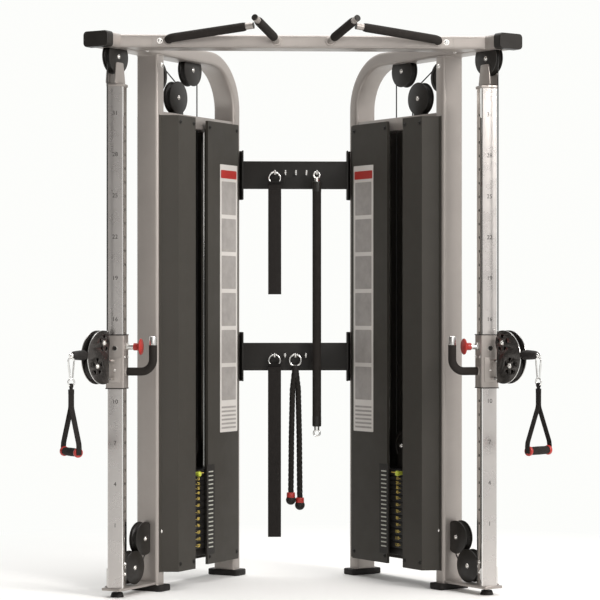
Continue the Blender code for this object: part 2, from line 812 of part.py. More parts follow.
def build_guide_post(unit, post_frame, side, prefix):
    """The square guide post with its row of holes, its head bracket and its base flange."""
    half = POST_SIZE / 2
    post = box((-half, -half, POST_BOTTOM), (half, half, POST_TOP))
    round_edges(post, POST_CORNER, 2, lambda a, b: abs(a.x - b.x) + abs(a.y - b.y) < 1e-5)
    inside = half - POST_WALL
    bore = box((-inside, -inside, POST_BOTTOM - 0.01), (inside, inside, POST_TOP + 0.01))
    holes = bmesh.new()
    for index in range(HOLE_COUNT):
        at = Matrix.Translation((side * half, 0.0, HOLE_FIRST_Z + index * HOLE_PITCH))
        turn = Matrix.Rotation(math.pi / 2, 4, "Y")
        bmesh.ops.create_cone(
            holes,
            cap_ends=True,
            segments=HOLE_SIDES,
            radius1=HOLE_RADIUS,
            radius2=HOLE_RADIUS,
            depth=2 * POST_WALL + 0.004,
            matrix=at @ turn,
        )
    holes = from_bmesh(holes, "holes")
    brim = half + 0.003
    head = box((-brim, -brim, POST_TOP - 0.001), (brim, brim, POST_TOP + POST_HEAD_HEIGHT))
    inset = half - POST_CORNER - 0.001
    cheek = box(
        (-side * (half - 0.001), -inset, POST_BOTTOM + 0.001),
        (-side * (half + 0.004), inset, POST_BOTTOM + 0.075),
    )
    flange = box(
        (-side * (half + 0.003), 0.002 - inset, POST_BOTTOM + 0.0015),
        (-side * (half + 0.012), inset - 0.002, POST_BOTTOM + 0.006),
    )
    own(post_frame, bore, holes, head, flange, cheek)
    inner = GUARD_GAP / 2 + GUARD_WALL + SEAT_GAP
    tab = [
        (TOP_FRONT_PULLEY_S - 0.030, POST_TOP + POST_HEAD_HEIGHT - 0.001),
        (TOP_FRONT_PULLEY_S + 0.034, POST_TOP + POST_HEAD_HEIGHT - 0.001),
        (TOP_FRONT_PULLEY_S + 0.022, TOP_PULLEY_Z - 0.030),
        (TOP_FRONT_PULLEY_S - 0.022, TOP_PULLEY_Z - 0.030),
    ]
    tabs = [prism(tab, inner, inner + 0.005, "SIDE"), prism(tab, -inner - 0.005, -inner, "SIDE")]
    own(unit, *tabs)
    cut(post, bore, holes)
    unite(post, head, cheek, flange, *tabs)
    place(post, post_frame)
    return finish(post, prefix + "guide_post", CHROME)


def build_shrouds(unit, side, prefix):
    """The folded sheets round the weight stack."""
    seat = HALF_WIDTH + SEAT_GAP + SHEET / 2
    rear_face = REAR_S - HALF_DEPTH
    runs = {
        "front_shroud": [
            (seat, -0.014),
            (seat, 0.002),
            (FRONT_PANEL_N, FRONT_FOLD_S),
            (FRONT_PANEL_N, FRONT_PANEL_END),
            (FRONT_PANEL_N - PANEL_LIP, FRONT_PANEL_END),
        ],
        "rear_shroud": [
            (REAR_PANEL_N - PANEL_LIP, REAR_PANEL_START),
            (REAR_PANEL_N, REAR_PANEL_START),
            (REAR_PANEL_N, rear_face - 0.006),
            (seat, rear_face + 0.010),
            (seat, rear_face + 0.036),
        ],
        "outer_shroud": [
            (-seat, -0.014),
            (-seat, 0.006),
            (OUTER_PANEL_N, 0.020),
            (OUTER_PANEL_N, rear_face - 0.006),
            (-seat, rear_face + 0.010),
            (-seat, rear_face + 0.036),
        ],
    }
    for name, run in runs.items():
        outline = sheet_outline([(side * n, s) for n, s in run], SHEET)
        panel = prism(outline, SHROUD_BOTTOM, SHROUD_TOP, "PLAN")
        place(panel, unit)
        finish(panel, prefix + name, CHARCOAL)


def build_stack(unit, side, prefix):
    """The stack's base, plates, rods and cross plate; the head plate with its pulley; the selector pin."""
    front = HALF_DEPTH + SEAT_GAP
    rear = REAR_S - HALF_DEPTH - SEAT_GAP
    base_top = STACK_BASE_Z + STACK_BASE_HEIGHT
    base = box((-HALF_WIDTH, front, STACK_BASE_Z), (HALF_WIDTH, rear, base_top))
    outline = []
    level = base_top - 0.001
    heights = [THICK_PITCH] * THICK_PLATES + [THIN_PITCH] * THIN_PLATES
    bottom = base_top
    for pitch in heights:
        outline += [(STACK_WIDTH / 2, level), (STACK_WIDTH / 2, bottom + pitch - PLATE_GROOVE)]
        outline += [(STACK_WIDTH / 2 - PLATE_INSET, bottom + pitch - PLATE_GROOVE)]
        outline += [(STACK_WIDTH / 2 - PLATE_INSET, bottom + pitch)]
        bottom += pitch
        level = bottom
    outline += [(-n, z) for n, z in reversed(outline)]
    plates = prism(outline, FLOAT_S - STACK_LENGTH / 2, FLOAT_S + STACK_LENGTH / 2, "FRONT")
    cross_top = CROSS_PLATE_Z + CROSS_PLATE_HEIGHT
    cross = box((-CROSS_PLATE_WIDTH / 2, front, CROSS_PLATE_Z), (CROSS_PLATE_WIDTH / 2, rear, cross_top))
    rod_places = (FLOAT_S - ROD_OFFSET, FLOAT_S + ROD_OFFSET)
    rods = [rod((0, s, base_top - 0.01), (0, s, cross_top - 0.02), ROD_RADIUS, 10) for s in rod_places]
    ways = [
        box((-0.010, s - 0.010, CROSS_PLATE_Z - 0.01), (0.010, s + 0.010, cross_top + 0.01))
        for s in (FLOAT_S - PULLEY_LINE, FLOAT_S + PULLEY_LINE)
    ]
    centre = (SHROUD_PULLEY_S, SHROUD_PULLEY_Z)
    skirt = arc(centre, GUARD_RADIUS, -65, 245, GUARD_SIDES)
    skirt += [(skirt[-1][0], cross_top - 0.002), (skirt[0][0], cross_top - 0.002)]
    guard = guards(skirt, centre)
    own(unit, plates, cross, *rods, *ways, *guard)
    cut(cross, *ways)
    unite(base, plates, *rods, cross, *guard, solver="MANIFOLD")
    place(base, unit)
    finish(base, prefix + "weight_stack", CAST_IRON)

    head = box(
        (-STACK_WIDTH / 2, FLOAT_S - STACK_LENGTH / 2, HEAD_BOTTOM),
        (STACK_WIDTH / 2, FLOAT_S + STACK_LENGTH / 2, HEAD_TOP),
    )
    bore_radius = ROD_RADIUS + 3 * RUN_GAP
    bores = [rod((0, s, HEAD_BOTTOM - 0.01), (0, s, HEAD_TOP + 0.01), bore_radius, 10) for s in rod_places]
    middle = (HEAD_BOTTOM + HEAD_TOP) / 2
    deep, out = side * (STACK_WIDTH / 2 - 0.034), side * (STACK_WIDTH / 2 + 0.01)
    socket = rod((deep, SELECTOR_S, middle), (out, SELECTOR_S, middle), SELECTOR_RADIUS + RUN_GAP, 10)
    cheek = [
        (FLOAT_S - 0.030, HEAD_TOP - 0.001),
        (FLOAT_S + 0.030, HEAD_TOP - 0.001),
        (FLOAT_S + 0.016, FLOAT_Z + 0.016),
        (FLOAT_S - 0.016, FLOAT_Z + 0.016),
    ]
    floating = (FLOAT_S, FLOAT_Z)
    bracket = guards(cheek, floating)
    wheel = turned(wheel_profile(0.0, PULLEY_LINE, PULLEY_RIM, PULLEY_WIDTH), PULLEY_SIDES)
    wheel.location = (0.0, *floating)
    wheel.rotation_euler = (0.0, math.pi / 2, 0.0)
    own(unit, *bores, socket, *bracket, wheel)
    cut(head, *bores, socket)
    unite(head, *bracket, wheel)
    place(head, unit)
    finish(head, prefix + "head_plate", CAST_IRON)

    pin = turned(
        [
            (0.0, 0.030),
            (SELECTOR_KNOB * 0.8, 0.029),
            (SELECTOR_KNOB, 0.022),
            (SELECTOR_KNOB * 0.75, SEAT_GAP),
            (SELECTOR_RADIUS, SEAT_GAP),
            (SELECTOR_RADIUS, -SELECTOR_REACH),
            (0.0, -SELECTOR_REACH),
        ],
        10,
    )
    pin.parent = unit
    pin.location = (side * STACK_WIDTH / 2, SELECTOR_S, middle)
    pin.rotation_euler = (0.0, side * math.pi / 2, 0.0)
    finish(pin, prefix + "selector_pin", LIME_PLASTIC)


def build_carriage(unit, carriage_frame, swivel_frame, side, prefix):
    """The sleeve that slides on the post, with its handle, pin barrel, hinge lugs and cable anchor."""
    sleeve = box((-SLEEVE_HALF, -SLEEVE_HALF, -SLEEVE_BELOW), (SLEEVE_HALF, SLEEVE_HALF, SLEEVE_ABOVE))
    round_edges(sleeve, POST_CORNER, 2, lambda a, b: abs(a.x - b.x) + abs(a.y - b.y) < 1e-5)
    proud = SLEEVE_HALF + BUSH_PROUD
    bushes = [
        box((-proud, -proud, low), (proud, proud, low + BUSH_HEIGHT))
        for low in (-SLEEVE_BELOW - BUSH_HEIGHT + 0.001, SLEEVE_ABOVE - 0.001)
    ]
    inside = POST_SIZE / 2 + RUN_GAP
    bore = box((-inside, -inside, -SLEEVE_BELOW - 0.02), (inside, inside, SLEEVE_ABOVE + 0.02))
    barrel_end = side * (SLEEVE_HALF + BARREL_LENGTH)
    barrel = rod((side * (SLEEVE_HALF - 0.001), 0, 0), (barrel_end, 0, 0), BARREL_RADIUS, 12)
    pin_way = rod(
        (side * (inside - 0.002), 0, 0),
        (side * (SLEEVE_HALF + BARREL_LENGTH + 0.01), 0, 0),
        PIN_RADIUS + RUN_GAP,
        8,
    )
    base = Vector((side * (SLEEVE_HALF - 0.002), 0.0, -HANDLE_DROP))
    corner = Vector((side * (SLEEVE_HALF + HANDLE_REACH), 0.0, -HANDLE_DROP))
    tip = corner + Vector((0.0, 0.0, HANDLE_RISE))
    foam_end = tip - Vector((0.0, 0.0, HANDLE_TIP))
    grip = tube(bend([base, corner, foam_end], HANDLE_BEND, 5), HANDLE_RADIUS, 3)
    end = rod(foam_end - Vector((0, 0, 0.004)), tip, HANDLE_TIP_RADIUS, 12)
    port = rod((0, -SLEEVE_HALF - 0.01, -0.006), (0, -inside + 0.003, -0.006), 0.0085, 8)
    own(carriage_frame, *bushes, bore, barrel, pin_way, grip, end, port)

    half = LUG_WIDTH / 2
    lugs = []
    for low in (CARRIAGE_Z - LUG_DROP - LUG_HEIGHT, CARRIAGE_Z - LUG_DROP - LUG_SPAN):
        outline = [
            (-half, CABLE_FRONT_S - LUG_NOSE),
            (half, CABLE_FRONT_S - LUG_NOSE),
            (half, sleeve_face(half, SLEEVE_HALF - LUG_BITE, side, -1)),
            (-half, sleeve_face(-half, SLEEVE_HALF - LUG_BITE, side, -1)),
        ]
        lugs.append(prism(outline, low, low + LUG_HEIGHT, "PLAN"))
    hinge_pin = rod(
        (0, CABLE_FRONT_S, CARRIAGE_Z - LUG_DROP - LUG_SPAN + 0.002),
        (0, CABLE_FRONT_S, CARRIAGE_Z - LUG_DROP - 0.002),
        HINGE_PIN_RADIUS,
        8,
    )
    wide = 0.010
    bottom = CARRIAGE_Z - SLEEVE_BELOW
    anchor = prism(
        [
            (-wide, sleeve_face(-wide, SLEEVE_HALF - LUG_BITE, side, 1)),
            (wide, sleeve_face(wide, SLEEVE_HALF - LUG_BITE, side, 1)),
            (wide, ANCHOR_S + 0.008),
            (-wide, ANCHOR_S + 0.008),
        ],
        bottom,
        bottom + ANCHOR_HEIGHT,
        "PLAN",
    )
    way_top = bottom + ANCHOR_HEIGHT + 0.01
    anchor_way = rod((0, ANCHOR_S, bottom - 0.01), (0, ANCHOR_S, way_top), CABLE_RADIUS + 2 * RUN_GAP, 8)
    own(unit, *lugs, hinge_pin, anchor, anchor_way)
    unite(sleeve, *bushes)
    cut(sleeve, bore)
    unite(sleeve, barrel, grip, end, *lugs, hinge_pin, anchor)
    cut(sleeve, pin_way, port, anchor_way)
    place(sleeve, carriage_frame)
    finish(sleeve, prefix + "carriage", SILVER_PAINT)

    start = SLEEVE_HALF + BARREL_LENGTH - KNOB_LAP
    top = start + KNOB_LENGTH
    tip_at = POST_SIZE / 2 + PIN_TIP_GAP
    cup = BARREL_RADIUS + RUN_GAP
    pin = turned(
        [
            (0.0, top),
            (KNOB_RADIUS * 0.60, top - 0.001),
            (KNOB_RADIUS, top - 0.008),
            (KNOB_RADIUS, top - 0.013),
            (KNOB_NECK, top - 0.019),
            (KNOB_NECK, start),
            (cup, start),
            (cup, start + KNOB_CUP),
            (PIN_RADIUS, start + KNOB_CUP),
            (PIN_RADIUS, tip_at),
            (0.0, tip_at),
        ],
        12,
    )
    pin.parent = carriage_frame
    pin.rotation_euler = (0.0, side * math.pi / 2, 0.0)
    finish(pin, prefix + "pop_pin", RED_PLASTIC)


def build_housing(swivel_frame, side, prefix):
    """The swivelling housing: two plates with windows, its axles and hinge barrel, and its two pulleys."""
    centre = (PLATE_CENTRE_S, -PLATE_CENTRE_DROP)
    edge = math.degrees(math.acos((-PLATE_REAR - PLATE_CENTRE_S) / PLATE_RADIUS))
    outline = arc(centre, PLATE_RADIUS, edge, 360 - edge, PLATE_STEPS)
    inner = GUARD_GAP / 2
    outer = inner + PLATE_WALL
    near = prism(outline, inner, outer, "SIDE")
    far = prism(outline, -outer, -inner, "SIDE")
    windows = []
    for at in (SWING_UPPER, SWING_LOWER):
        for index in range(WINDOW_COUNT):
            middle = 2 * math.pi * (index + 0.25) / WINDOW_COUNT
            reach = [
                (WINDOW_INNER, middle),
                (WINDOW_OUTER, middle - WINDOW_HALF_ANGLE),
                (WINDOW_OUTER, middle + WINDOW_HALF_ANGLE),
            ]
            windows.append([(at[0] + r * math.cos(a), at[1] + r * math.sin(a)) for r, a in reach])
    window = prism(windows[0], -outer - 0.01, outer + 0.01, "SIDE", holes=windows[1:])
    end = inner + AXLE_BITE
    axles = [rod((-end, *at), (end, *at), SWING_AXLE, AXLE_SIDES) for at in (SWING_UPPER, SWING_LOWER)]
    top = -LUG_DROP - LUG_HEIGHT - RUN_GAP
    bottom = -LUG_DROP - LUG_SPAN + LUG_HEIGHT + RUN_GAP
    barrel = rod((0, 0, bottom), (0, 0, top), HINGE_BARREL_RADIUS, 12)
    web = box((-inner - 0.001, -0.030, bottom), (inner + 0.001, -0.005, top))
    way = rod((0, 0, bottom - 0.01), (0, 0, top + 0.01), HINGE_PIN_RADIUS + 2 * RUN_GAP, 8)
    own(swivel_frame, far, window, *axles, barrel, web, way)
    unite(near, far)
    cut(near, window)
    unite(near, web, barrel, *axles)
    cut(near, way)
    place(near, swivel_frame)
    finish(near, prefix + "pulley_housing", BLACK_STEEL)
    sizes = (SWING_LINE, SWING_RIM, SWING_WIDTH, SWING_AXLE)
    pulley(prefix + "swing_pulley_upper", swivel_frame, SWING_UPPER, *sizes)
    pulley(prefix + "swing_pulley_lower", swivel_frame, SWING_LOWER, *sizes)


def build_handle(swivel_frame, unit_turn, grip_yaw, prefix):
    """The cable stop with its clip, the webbing strap and the grip, hung from the housing's cable."""
    stop_end = STOP_REAR_S - STOP_LENGTH
    eye_s = stop_end - EYE_RADIUS + 0.004
    local_yaw = grip_yaw - unit_turn
    grip_dir = (math.cos(local_yaw), math.sin(local_yaw), 0.0)
    stop = turned(
        [
            (0.0, STOP_LENGTH),
            (STOP_RADIUS * 0.62, STOP_LENGTH),
            (STOP_RADIUS * 0.82, STOP_LENGTH * 0.86),
            (STOP_RADIUS, STOP_LENGTH * 0.30),
            (STOP_RADIUS, 0.003),
            (STOP_RADIUS - 0.003, 0.0),
            (0.0, 0.0),
        ],
        12,
    )
    stop.location = (0.0, STOP_REAR_S, CABLE_OUT_Z)
    stop.rotation_euler = (math.pi / 2, 0.0, 0.0)
    eye = ring((0.0, eye_s, CABLE_OUT_Z), (1, 0, 0), EYE_RADIUS, EYE_WIRE, 10, 4)
    clip_top = CABLE_OUT_Z - EYE_RADIUS + CLIP_BITE
    clip_middle = clip_top - CLIP_LENGTH / 2
    radius = CLIP_WIDTH / 2 - CLIP_WIRE
    clip = ring((0.0, eye_s, clip_middle), grip_dir, radius, CLIP_WIRE, 10, 4, stretch=CLIP_LENGTH - 2 * radius)
    ring_middle = clip_top - CLIP_LENGTH - RING_RADIUS + CLIP_BITE
    loop = ring((0.0, eye_s, ring_middle), grip_dir, RING_RADIUS, CLIP_WIRE, 10, 4)
    own(swivel_frame, eye, clip, loop)
    unite(stop, eye, clip, loop, solver="MANIFOLD")
    stop.parent = swivel_frame
    finish(stop, prefix + "handle_clip", BLACK_PLASTIC)

    hang = axis_empty(
        prefix + "handle_axis", swivel_frame, (0.0, eye_s, ring_middle - RING_RADIUS), local_yaw - math.pi / 2
    )
    eyelet = CLIP_WIRE + STRAP_EYE_GAP
    gather = RING_RADIUS * STRAP_GATHER
    half = STRAP_WIDTH / 2
    leg_u = GRIP_LENGTH / 2 + RUN_GAP + STRAP_THICKNESS / 2
    knot = prism(arc((0, 0), eyelet + STRAP_THICKNESS, 0, 360, 10)[:-1], -gather, gather, "SIDE")
    fall = [(0, -eyelet - 0.002), (0, -STRAP_TRUNK)]
    trunk = prism(sheet_outline(fall, 2 * STRAP_THICKNESS), -half, half, "SIDE")
    legs = []
    for sign in (-1, 1):
        run = [
            (sign * STRAP_THICKNESS / 2, 0.012 - STRAP_TRUNK),
            (sign * STRAP_THICKNESS * 0.9, -STRAP_TRUNK),
            (sign * leg_u * 0.56, -STRAP_TRUNK - (STRAP_DROP - STRAP_TRUNK) * 0.50),
            (sign * leg_u * 0.96, 0.030 - STRAP_DROP),
            (sign * leg_u, 0.018 - STRAP_DROP),
            (sign * leg_u, -STRAP_DROP - 0.009),
        ]
        legs.append(prism(sheet_outline(run, STRAP_THICKNESS), -half * 0.9, half * 0.9, "SIDE"))
    core = rod((0, -leg_u, -STRAP_DROP), (0, leg_u, -STRAP_DROP), GRIP_BORE - RUN_GAP, 8)
    hole = rod((-half - 0.01, 0, 0), (half + 0.01, 0, 0), eyelet, 10)
    own(hang, trunk, *legs, core, hole)
    unite(knot, trunk, *legs, core)
    cut(knot, hole)
    place(knot, hang)
    finish(knot, prefix + "handle_strap", WEBBING)

    end = GRIP_LENGTH / 2
    collar = end - GRIP_RING_LENGTH
    grip = turned(
        [
            (GRIP_BORE, end),
            (GRIP_RING_RADIUS - 0.002, end),
            (GRIP_RING_RADIUS, end - 0.003),
            (GRIP_RING_RADIUS - 0.001, collar),
            (GRIP_RADIUS, collar),
            (GRIP_RADIUS + 0.0012, 0.0),
            (GRIP_RADIUS, -collar),
            (GRIP_RING_RADIUS - 0.001, -collar),
            (GRIP_RING_RADIUS, 0.003 - end),
            (GRIP_RING_RADIUS - 0.002, -end),
            (GRIP_BORE, -end),
        ],
        10,
    )
    grip.parent = hang
    grip.location = (0.0, 0.0, -STRAP_DROP)
    grip.rotation_euler = (math.pi / 2, 0.0, 0.0)
    finish(grip, prefix + "handle_grip", FOAM)


def tangent_angle(first, second):
    """The angle, in degrees, of the outer common tangent's normal between two equal wheels."""
    along = Vector(second) - Vector(first)
    return math.degrees(math.atan2(along.x, -along.y))


def build_cables(unit, prefix):
    """The cable through the tower, and the run from the top pulley to the carriage and the handle."""
    line = PULLEY_LINE
    top_front = (TOP_FRONT_PULLEY_S, TOP_PULLEY_Z)
    top_rear = (TOP_REAR_S, TOP_PULLEY_Z)
    shroud = (SHROUD_PULLEY_S, SHROUD_PULLEY_Z)
    idler = (IDLER_S, IDLER_Z)
    lower_rear = (LOWER_REAR_S, LOWER_REAR_Z)
    lower_front = (LOWER_FRONT_S, LOWER_FRONT_Z)
    rise = tangent_angle(idler, shroud)
    fall = tangent_angle(lower_front, lower_rear) - 180
    run = arc(top_front, line, 180, 90, 6)
    run += arc(top_rear, line, 90, 0, 6)
    run += arc((FLOAT_S, FLOAT_Z), line, 0, -180, 12)
    run += arc(shroud, line, 0, rise, 4)
    run += arc(idler, line, rise, 180, 8)
    run += arc(lower_rear, line, 0, fall, 2)
    run += arc(lower_front, line, fall, -180, 10)
    run.append((ANCHOR_S, CARRIAGE_Z - SLEEVE_BELOW + ANCHOR_HEIGHT - 0.002))
    main = wire_run([(0.0, s, z) for s, z in run], CABLE_RADIUS, 0)
    place(main, unit)
    finish(main, prefix + "main_cable", CABLE_COAT)

    upper = (CABLE_FRONT_S + SWING_UPPER[0], CARRIAGE_Z + SWING_UPPER[1])
    run = [(CABLE_FRONT_S, TOP_PULLEY_Z - SEAT_GAP)]
    run += arc(upper, SWING_LINE, 0, -90, 6)
    run.append((CABLE_FRONT_S + STOP_REAR_S + SEAT_GAP, upper[1] - SWING_LINE))
    post_run = wire_run([(0.0, s, z) for s, z in run], CABLE_RADIUS, 1)
    place(post_run, unit)
    finish(post_run, prefix + "post_cable", CABLE_COAT)


def build_tower(side, prefix, grip_yaw):
    """One tower with everything it carries."""
    turn = -side * FRAME_YAW
    unit = axis_empty(prefix + "unit", None, (-side * UNIT_HALF_SPACING, UNIT_Y, 0.0), turn)
    post_frame = axis_empty(prefix + "post_axis", unit, (0.0, POST_S, 0.0), side * POST_TURN)
    carriage_frame = axis_empty(prefix + "carriage_axis", post_frame, (0.0, 0.0, CARRIAGE_Z), 0.0)
    swivel_frame = axis_empty(prefix + "swivel_axis", unit, (0.0, CABLE_FRONT_S, CARRIAGE_Z), 0.0)
    build_side_frame(unit, side, prefix)
    build_end_cap(unit, prefix)
    build_guide_post(unit, post_frame, side, prefix)
    build_shrouds(unit, side, prefix)
    build_stack(unit, side, prefix)
    build_carriage(unit, carriage_frame, swivel_frame, side, prefix)
    build_housing(swivel_frame, side, prefix)
    build_handle(swivel_frame, turn, grip_yaw, prefix)
    wheels = {
        "top_front_pulley": (TOP_FRONT_PULLEY_S, TOP_PULLEY_Z),
        "top_rear_pulley": (TOP_REAR_S, TOP_PULLEY_Z),
        "shroud_pulley": (SHROUD_PULLEY_S, SHROUD_PULLEY_Z),
        "lower_rear_pulley": (LOWER_REAR_S, LOWER_REAR_Z),
        "lower_front_pulley": (LOWER_FRONT_S, LOWER_FRONT_Z),
    }
    for name, centre in wheels.items():
        pulley(prefix + name, unit, centre, PULLEY_LINE, PULLEY_RIM, PULLEY_WIDTH, AXLE_RADIUS)
    build_cables(unit, prefix)


def bar_runs(sign):
    """Centre lines of the wide and the neutral chin-up tube on one side."""
    face = UNIT_Y + BEAM_FRONT
    base_z = TOP_Z + BAR_BASE_RISE
    wide = [
        (sign * WIDE_BASE_X, face + 0.0015, base_z),
        (sign * WIDE_BASE_X, face - WIDE_ELBOW, base_z + 0.004),
        (sign * WIDE_TIP_X, face - WIDE_REACH, TOP_Z + WIDE_TIP_RISE),
    ]
    neutral = [
        (sign * NEUTRAL_BASE_X, face + 0.0015, base_z),
        (sign * (NEUTRAL_BASE_X + 0.006), face - 0.030, base_z + 0.006),
        (sign * NEUTRAL_TIP_X, face - NEUTRAL_REACH, TOP_Z + NEUTRAL_TIP_RISE),
    ]
    return bend(wide, 0.030, 5), bend(neutral, 0.040, 3)


def along_run(run, start, end):
    """The stretch of a run of points that lies `start` from its first point and `end` from its last."""
    run = [Vector(point) for point in run]
    total = sum((b - a).length for a, b in zip(run, run[1:]))
    kept, passed = [], 0.0
    for a, b in zip(run, run[1:]):
        length = (b - a).length
        for mark in (start, total - end):
            if passed <= mark < passed + length:
                kept.append(a + (b - a) * (mark - passed) / length)
        passed += length
        if start < passed < total - end:
            kept.append(b)
    return kept


def build_beam():
    """The chin-up beam between the towers with its four grip tubes, and the foam on them."""
    face, back = UNIT_Y + BEAM_FRONT, UNIT_Y + BEAM_BACK
    end = BEAM_SEAM_X - SEAT_GAP
    low, high = TOP_Z - BEAM_HEIGHT / 2, TOP_Z + BEAM_HEIGHT / 2
    beam = box((-end, face, low), (end, back, high))
    round_edges(beam, BEAM_CORNER, 2, lambda a, b: abs(a.y - b.y) + abs(a.z - b.z) < 1e-5)
    hollow = box(
        (-end - 0.01, face + BEAM_WALL, low + BEAM_WALL),
        (end + 0.01, back - BEAM_WALL, high - BEAM_WALL),
    )
    cut(beam, hollow)
    for sign, word in ((-1, "left"), (1, "right")):
        for run, name in zip(bar_runs(sign), ("wide", "neutral")):
            bar = tube(run, BAR_RADIUS, 2)
            unite(beam, bar)
            start = 0.020 if name == "wide" else 0.045
            sleeve = tube(along_run(run, start, BAR_TIP_BARE), FOAM_RADIUS, 2)
            core = tube(along_run(run, start - 0.010, BAR_TIP_BARE - 0.010), BAR_RADIUS + RUN_GAP, 2)
            cut(sleeve, core)
            finish(sleeve, f"{name}_grip_{word}", FOAM)
    return finish(beam, "cross_beam", SILVER_PAINT)


def build_rack(name, centre_z, reach):
    """An accessory rack: its bar, an angled bracket at each end and a row of pegs."""
    front = RACK_FRONT
    rack = box(
        (-RACK_HALF_LENGTH - 0.002, front, centre_z - RACK_HEIGHT / 2),
        (RACK_HALF_LENGTH + 0.002, RACK_Y + RACK_DEPTH / 2, centre_z + RACK_HEIGHT / 2),
    )
    brackets = []
    half_flange = RACK_FLANGE / 2
    for side in (1, -1):
        x = RACK_HALF_LENGTH + RACK_FLANGE_WALL / 2
        behind = REAR_S + HALF_DEPTH + SEAT_GAP + RACK_FLANGE_WALL / 2
        inner = world_plan(HALF_WIDTH, behind, side)
        outer = world_plan(HALF_WIDTH - 0.066, behind, side)
        slope = (outer[1] - inner[1]) / (outer[0] - inner[0])
        knee = (-side * x, inner[1] + slope * (-side * x - inner[0]))
        run = [(-side * x, front - 0.004), knee, outer]
        brackets.append(
            prism(sheet_outline(run, RACK_FLANGE_WALL), centre_z - half_flange, centre_z + half_flange, "PLAN")
        )
    pegs = []
    for index in range(PEG_COUNT):
        x = (index - (PEG_COUNT - 1) / 2) * PEG_PITCH
        run = [
            (x, front + 0.002, centre_z),
            (x, front - reach, centre_z),
            (x, front - reach, centre_z + PEG_TIP_RISE),
        ]
        pegs.append(tube(bend(run, 0.008, 2), PEG_RADIUS, 1))
    unite(rack, *brackets, *pegs, solver="MANIFOLD")
    return finish(rack, name, BLACK_STEEL)


def build_band(name, x, y, peg_z, length):
    """A webbing strap with a D-ring, hung by the ring on a peg."""
    inner = D_RING_RADIUS - D_RING_WIRE
    middle = peg_z + PEG_RADIUS + SEAT_GAP - HOOK_SETTLE - inner * math.cos(math.pi / 14)
    hoop = ring((x, y, middle), (0, 1, 0), D_RING_RADIUS, D_RING_WIRE, 14)
    top = middle - D_RING_RADIUS + 0.004
    sway = [
        (y, top + 0.006),
        (y - 0.003, top - 0.030),
        (y + 0.001, top - length * 0.5),
        (y - 0.002, top - length),
    ]
    band = prism(sheet_outline(sway, BAND_THICKNESS), x - BAND_WIDTH / 2, x + BAND_WIDTH / 2, "SIDE")
    fold = rod((x - BAND_WIDTH / 2, y, top), (x + BAND_WIDTH / 2, y, top), 0.0075, 10)
    unite(band, fold, hoop)
    return finish(band, name, WEBBING)


def build_straight_bar(x, y, peg_z):
    """The straight lat bar with an eye at each end, hung by one eye."""
    wire = 0.004
    middle = peg_z + PEG_RADIUS + SEAT_GAP - HOOK_SETTLE - (BAR_EYE_RADIUS - wire) * math.cos(math.pi / 10)
    top = middle - BAR_EYE_RADIUS + 0.002
    bar = turned(
        [
            (0.0, top),
            (0.010, top),
            (0.012, top - 0.016),
            (STRAIGHT_BAR_RADIUS - 0.003, top - 0.018),
            (STRAIGHT_BAR_RADIUS, top - 0.024),
            (STRAIGHT_BAR_RADIUS, top - BAR_LENGTH + 0.024),
            (STRAIGHT_BAR_RADIUS - 0.003, top - BAR_LENGTH + 0.018),
            (0.012, top - BAR_LENGTH + 0.016),
            (0.010, top - BAR_LENGTH),
            (0.0, top - BAR_LENGTH),
        ],
        12,
    )
    bar.location = (x, y, 0.0)
    upper = ring((x, y, middle), (0, 1, 0), BAR_EYE_RADIUS, wire, 10)
    lower = ring((x, y, top - BAR_LENGTH - BAR_EYE_RADIUS + 0.002), (0, 1, 0), BAR_EYE_RADIUS, wire, 10)
    unite(bar, upper, lower)
    return finish(bar, "straight_bar", BLACK_PLASTIC)


def build_rope(x, y, peg_z):
    """The two-tail rope: a ring on the peg, two tails and a ball on each."""
    wire = 0.004
    inner = D_RING_RADIUS - wire
    middle = peg_z + PEG_RADIUS + SEAT_GAP - HOOK_SETTLE - inner * math.cos(math.pi / 12)
    hoop = ring((x, y, middle), (0, 1, 0), D_RING_RADIUS, wire, 12)
    top = middle - D_RING_RADIUS
    neck = rod((x, y, top - 0.050), (x, y, top + 0.002), 0.015, 12)
    rope = hoop
    shapes = [neck]
    for sign in (-1, 1):
        drop = ROPE_LENGTH + (0.022 if sign > 0 else 0.0)
        run = [
            (x + sign * 0.004, y, top - 0.030),
            (x + sign * 0.012, y, top - 0.100),
            (x + sign * 0.0165, y, top - 0.300),
            (x + sign * ROPE_SPREAD, y, top - drop),
        ]
        shapes.append(tube(run, ROPE_RADIUS, 2))
        end = run[-1]
        shapes.append(rod((end[0], y, end[2] - 0.010), (end[0], y, end[2] + 0.012), ROPE_BALL * 0.86, 12))
        ball = bmesh.new()
        at = Matrix.Translation((end[0], y, end[2] - 0.020))
        bmesh.ops.create_uvsphere(ball, u_segments=10, v_segments=6, radius=ROPE_BALL, matrix=at)
        shapes.append(from_bmesh(ball, "ball"))
    unite(rope, *shapes, solver="MANIFOLD")
    return finish(rope, "triceps_rope", ROPE_FIBRE)


